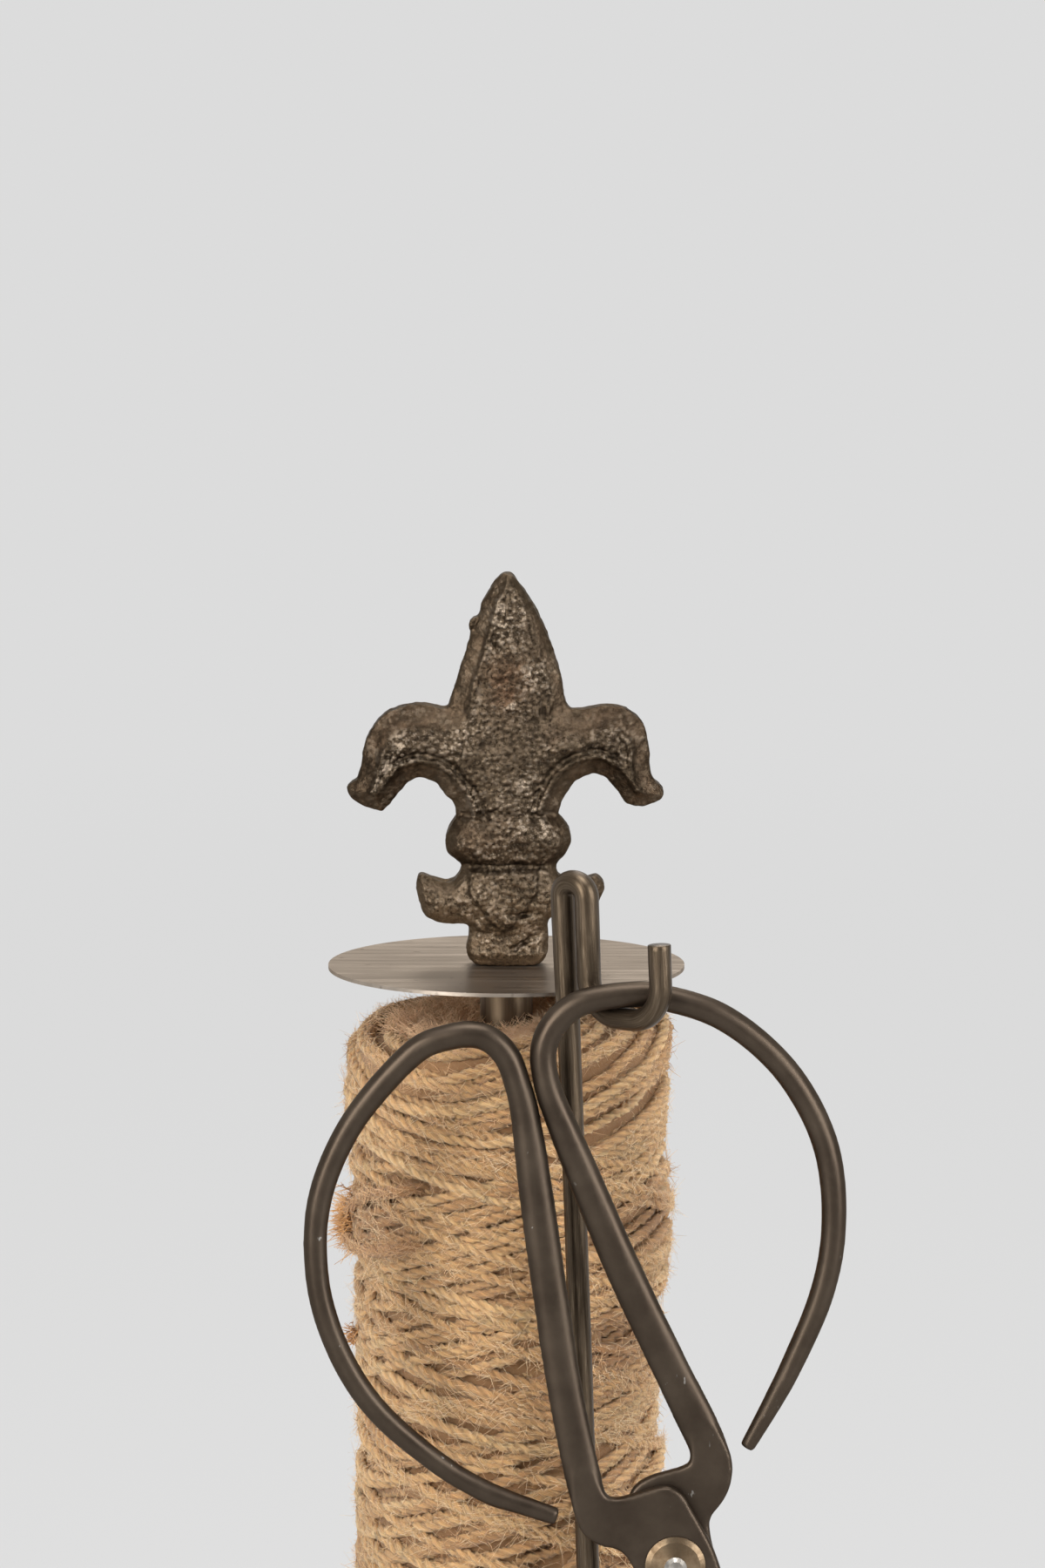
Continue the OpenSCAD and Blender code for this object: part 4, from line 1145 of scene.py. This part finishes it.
def fibres(name, starts, ways, lengths, thick, finish):
    """Bent tapered fibres from starting points along directions, in millimetres."""
    count = len(starts)
    bend = unit(dice.normal(size=(count, 3)))
    t = np.array([0, 0.5, 1.0])
    path = starts[:, None] + lengths[:, None, None] * (
        ways[:, None] * t[:, None] + 0.5 * bend[:, None] * t[:, None] ** 2)
    side = unit(np.cross(ways, bend))
    other = np.cross(ways, side)
    angle = np.arange(3) * 2 * math.pi / 3
    size = thick * (1 - 0.7 * t)
    ring = side[:, None] * np.cos(angle)[:, None] + other[:, None] * np.sin(angle)[:, None]
    points = path[:, :, None] + size[None, :, None, None] * ring[:, None]
    corner = np.arange(3)
    a, b = corner, (corner + 1) % 3
    walls = np.concatenate([np.stack([a + k, b + k, b + k + 3, a + k + 3], 1) for k in (0, 3)])
    first = np.arange(count)[:, None, None] * 9
    quads = (first + walls).reshape(-1, 4).tolist()
    ends = (first + np.array([[2, 1, 0], [6, 7, 8]])).reshape(-1, 3).tolist()
    return piece(name, points.reshape(-1, 3), quads + ends, "twine", "jute", finish)


def fuzz_finish(name, dark, light):
    made, tree, shader = new_finish(name, 0.0, 0.9, Sheen_Weight=0.2)
    shade = noise(tree, place_of(tree), 90, 3)
    tree.links.new(ramp(tree, shade, (0.3, dark), (0.7, light)), shader.inputs["Base Color"])
    return made


fuzz_light = fuzz_finish("jute_fuzz", (0.5, 0.3, 0.135), (0.82, 0.58, 0.33))
fuzz_brown = fuzz_finish("brown_fuzz", (0.5, 0.27, 0.125), (0.88, 0.6, 0.34))
fuzz_pale = fuzz_finish("pale_fuzz", (0.76, 0.54, 0.31), (0.95, 0.76, 0.5))
# painted light: lighter than jute would be, against the disc's shade on the dish
fuzz_dish_painted_light = fuzz_finish("dish_fuzz_painted_light", (0.76, 0.46, 0.25), (0.98, 0.68, 0.42))


def fuzz_on(name, lays, lengths, thick, finish):
    """Fibres on laid strands, each with a count, how far fibres stray sideways and how far they lift."""
    starts, ways = [], []
    for (path, out), count, stray, lift_share in lays:
        pick = dice.integers(1, len(path) - 1, count)
        ahead = unit(path[pick + 1] - path[pick - 1])
        beside = np.cross(ahead, out[pick])
        lift = unit(out[pick] + beside * dice.normal(0, 0.8, (count, 1)))
        starts.append(path[pick] + lift * STRAND_R * 0.92)
        ways.append(unit(ahead * dice.choice([-1, 1], (count, 1)) + beside * dice.normal(0, stray, (count, 1))
                         + lift * dice.uniform(0.03, lift_share, (count, 1))))
    starts, ways = np.concatenate(starts), np.concatenate(ways)
    fibres(name, starts, ways, dice.uniform(*lengths, len(starts)), thick, finish)


print("fuzz finishes mixed")

# %% [markdown]
# The surface gets four kinds: short pale fuzz, hairs that lie close, bridges that reach over to the next
# strand, and a few long wisps. Brown fuzz fills the gaps and the rim, and the dish gets a lighter fuzz,
# painted light against the disc's shade.

# %% Grow the fuzz
RIM_Z = 181
for name, count, stray, lift, lengths, thick, finish in (
    ("twine_fuzz", 3300, 0.7, 0.5, (0.9, 3.6), 0.055, fuzz_pale),
    ("twine_hair", 1600, 0.35, 0.25, (0.8, 2.4), 0.08, fuzz_light),
    ("twine_bridges", 3300, 1.7, 0.2, (1.2, 3.4), 0.06, fuzz_brown),
    ("twine_wisps", 350, 1.3, 0.22, (3.5, 7), 0.055, fuzz_pale),
):
    fuzz_on(name, [(lay, count, stray, lift) for lay in lays], lengths, thick, finish)
fuzz_on("twine_fuzz_gaps", [(lay_under, 13500, 0.7, 1.5)], (1.0, 3.2), 0.085, fuzz_brown)
rim = [(path[path[:, 2] > RIM_Z], out[path[:, 2] > RIM_Z]) for path, out in lays]
rim = [(lay, 2600, 0.8, 0.4) for lay in rim if len(lay[0]) > 9]
fuzz_on("twine_fuzz_rim", rim, (0.8, 2.6), 0.06, fuzz_brown)
fuzz_on("twine_fuzz_top", [(lay_top, 13500, 1.5, 0.7)], (1.2, 4.5), 0.09, fuzz_dish_painted_light)

# %% [markdown]
# ## The loose loop and the tuft
# At the left a brown length of strand has worked loose: it leaves the roll, doubles back and goes under
# again. It is drawn as bearings and heights and laid on the finished map, with the same twist as the rest.

# %% Lay the loop at the left
KNOT_SIDES, KNOT_LIFT, KNOT_DIVE = 9, 0.5, 2.4
knot = flow([
    (238, 161.5), (231, 160.6), (219, 159.3), (205, 157.4), (193, 154.4), (187, 151.2),
    (190, 148.6), (198, 147.3), (209, 147.4), (222, 148.4), (232, 149.6), (238, 150.4),
], 12)
knot_turn = np.radians(knot[:, 0])
knot_cell = (knot[:, 0] * 2).round().astype(int) % ROUND_STEPS
knot_row = ((knot[:, 1] - row_s[0]) / CELL).round().astype(int)
near = [(i, j) for i in (-4, 0, 4) for j in (-4, 0, 4)]
knot_r = np.max([surface[(knot_cell + i) % ROUND_STEPS, knot_row + j] for i, j in near], axis=0)
knot_r = np.convolve(np.pad(knot_r, 20, "edge"), SPREAD, "valid")
ends = np.minimum(np.arange(len(knot)), np.arange(len(knot))[::-1])
knot_r += KNOT_LIFT - KNOT_DIVE * (1 - ease(ends, 0, 16))
path, out = on_roll(knot_turn, knot[:, 1], knot_r)
run = run_of(path)
corner = np.arange(KNOT_SIDES)
valley = corner % 3 == 0
lobes = np.tile(STRAND_R * np.where(valley, 0.8, 1.12), (len(path), 1))
turn = corner * 2 * math.pi / KNOT_SIDES + 2 * math.pi * run[:, None] / LAY
knot_rings = rings_along(path, out, lobes, lobes, turn)
# painted shade of 0.4 over the whole loop, on top of its darker tone
twisted("twine_loop", knot_rings, run, valley, np.full(len(path), -1.3), 0.4)
fuzz_on("twine_loop_fuzz", [((path, out), 900, 0.9, 0.6)], (0.9, 2.8), 0.07, fuzz_brown)
print("loop of strand in millimetres:", round(float(run[-1]), 1))

# %% [markdown]
# Where the loop is worn through, a tuft of longer, redder fibres stands out from the roll. A smaller one
# stands lower down.

# %% Fray the tuft
tuft_finish, tree, shader = new_finish("frayed_jute", 0.0, 0.9, Sheen_Weight=0.2)
shade = noise(tree, place_of(tree), 200, 3)
red = ramp(tree, shade, (0.3, (0.42, 0.19, 0.06)), (0.7, (0.72, 0.4, 0.15)))
tree.links.new(red, shader.inputs["Base Color"])
starts, ways, lengths = [], [], []
for root, wide, way, count, longest in (
    ((-29.6, -3.5, 151.0), (0.6, 1.6, 2.2), (-0.8, -0.1, -0.1), 700, 3.6),
    ((-28.9, -2.5, 128.2), (0.5, 0.8, 0.8), (-0.8, -0.2, -0.2), 120, 2.2),
):
    starts.append(np.array(root) + dice.normal(0, wide, (count, 3)))
    ways.append(unit(np.array(way) + dice.normal(0, 0.4, (count, 3))))
    lengths.append(dice.uniform(1.0, longest, count))
fibres("twine_tuft", np.concatenate(starts), np.concatenate(ways), np.concatenate(lengths), 0.14, tuft_finish)
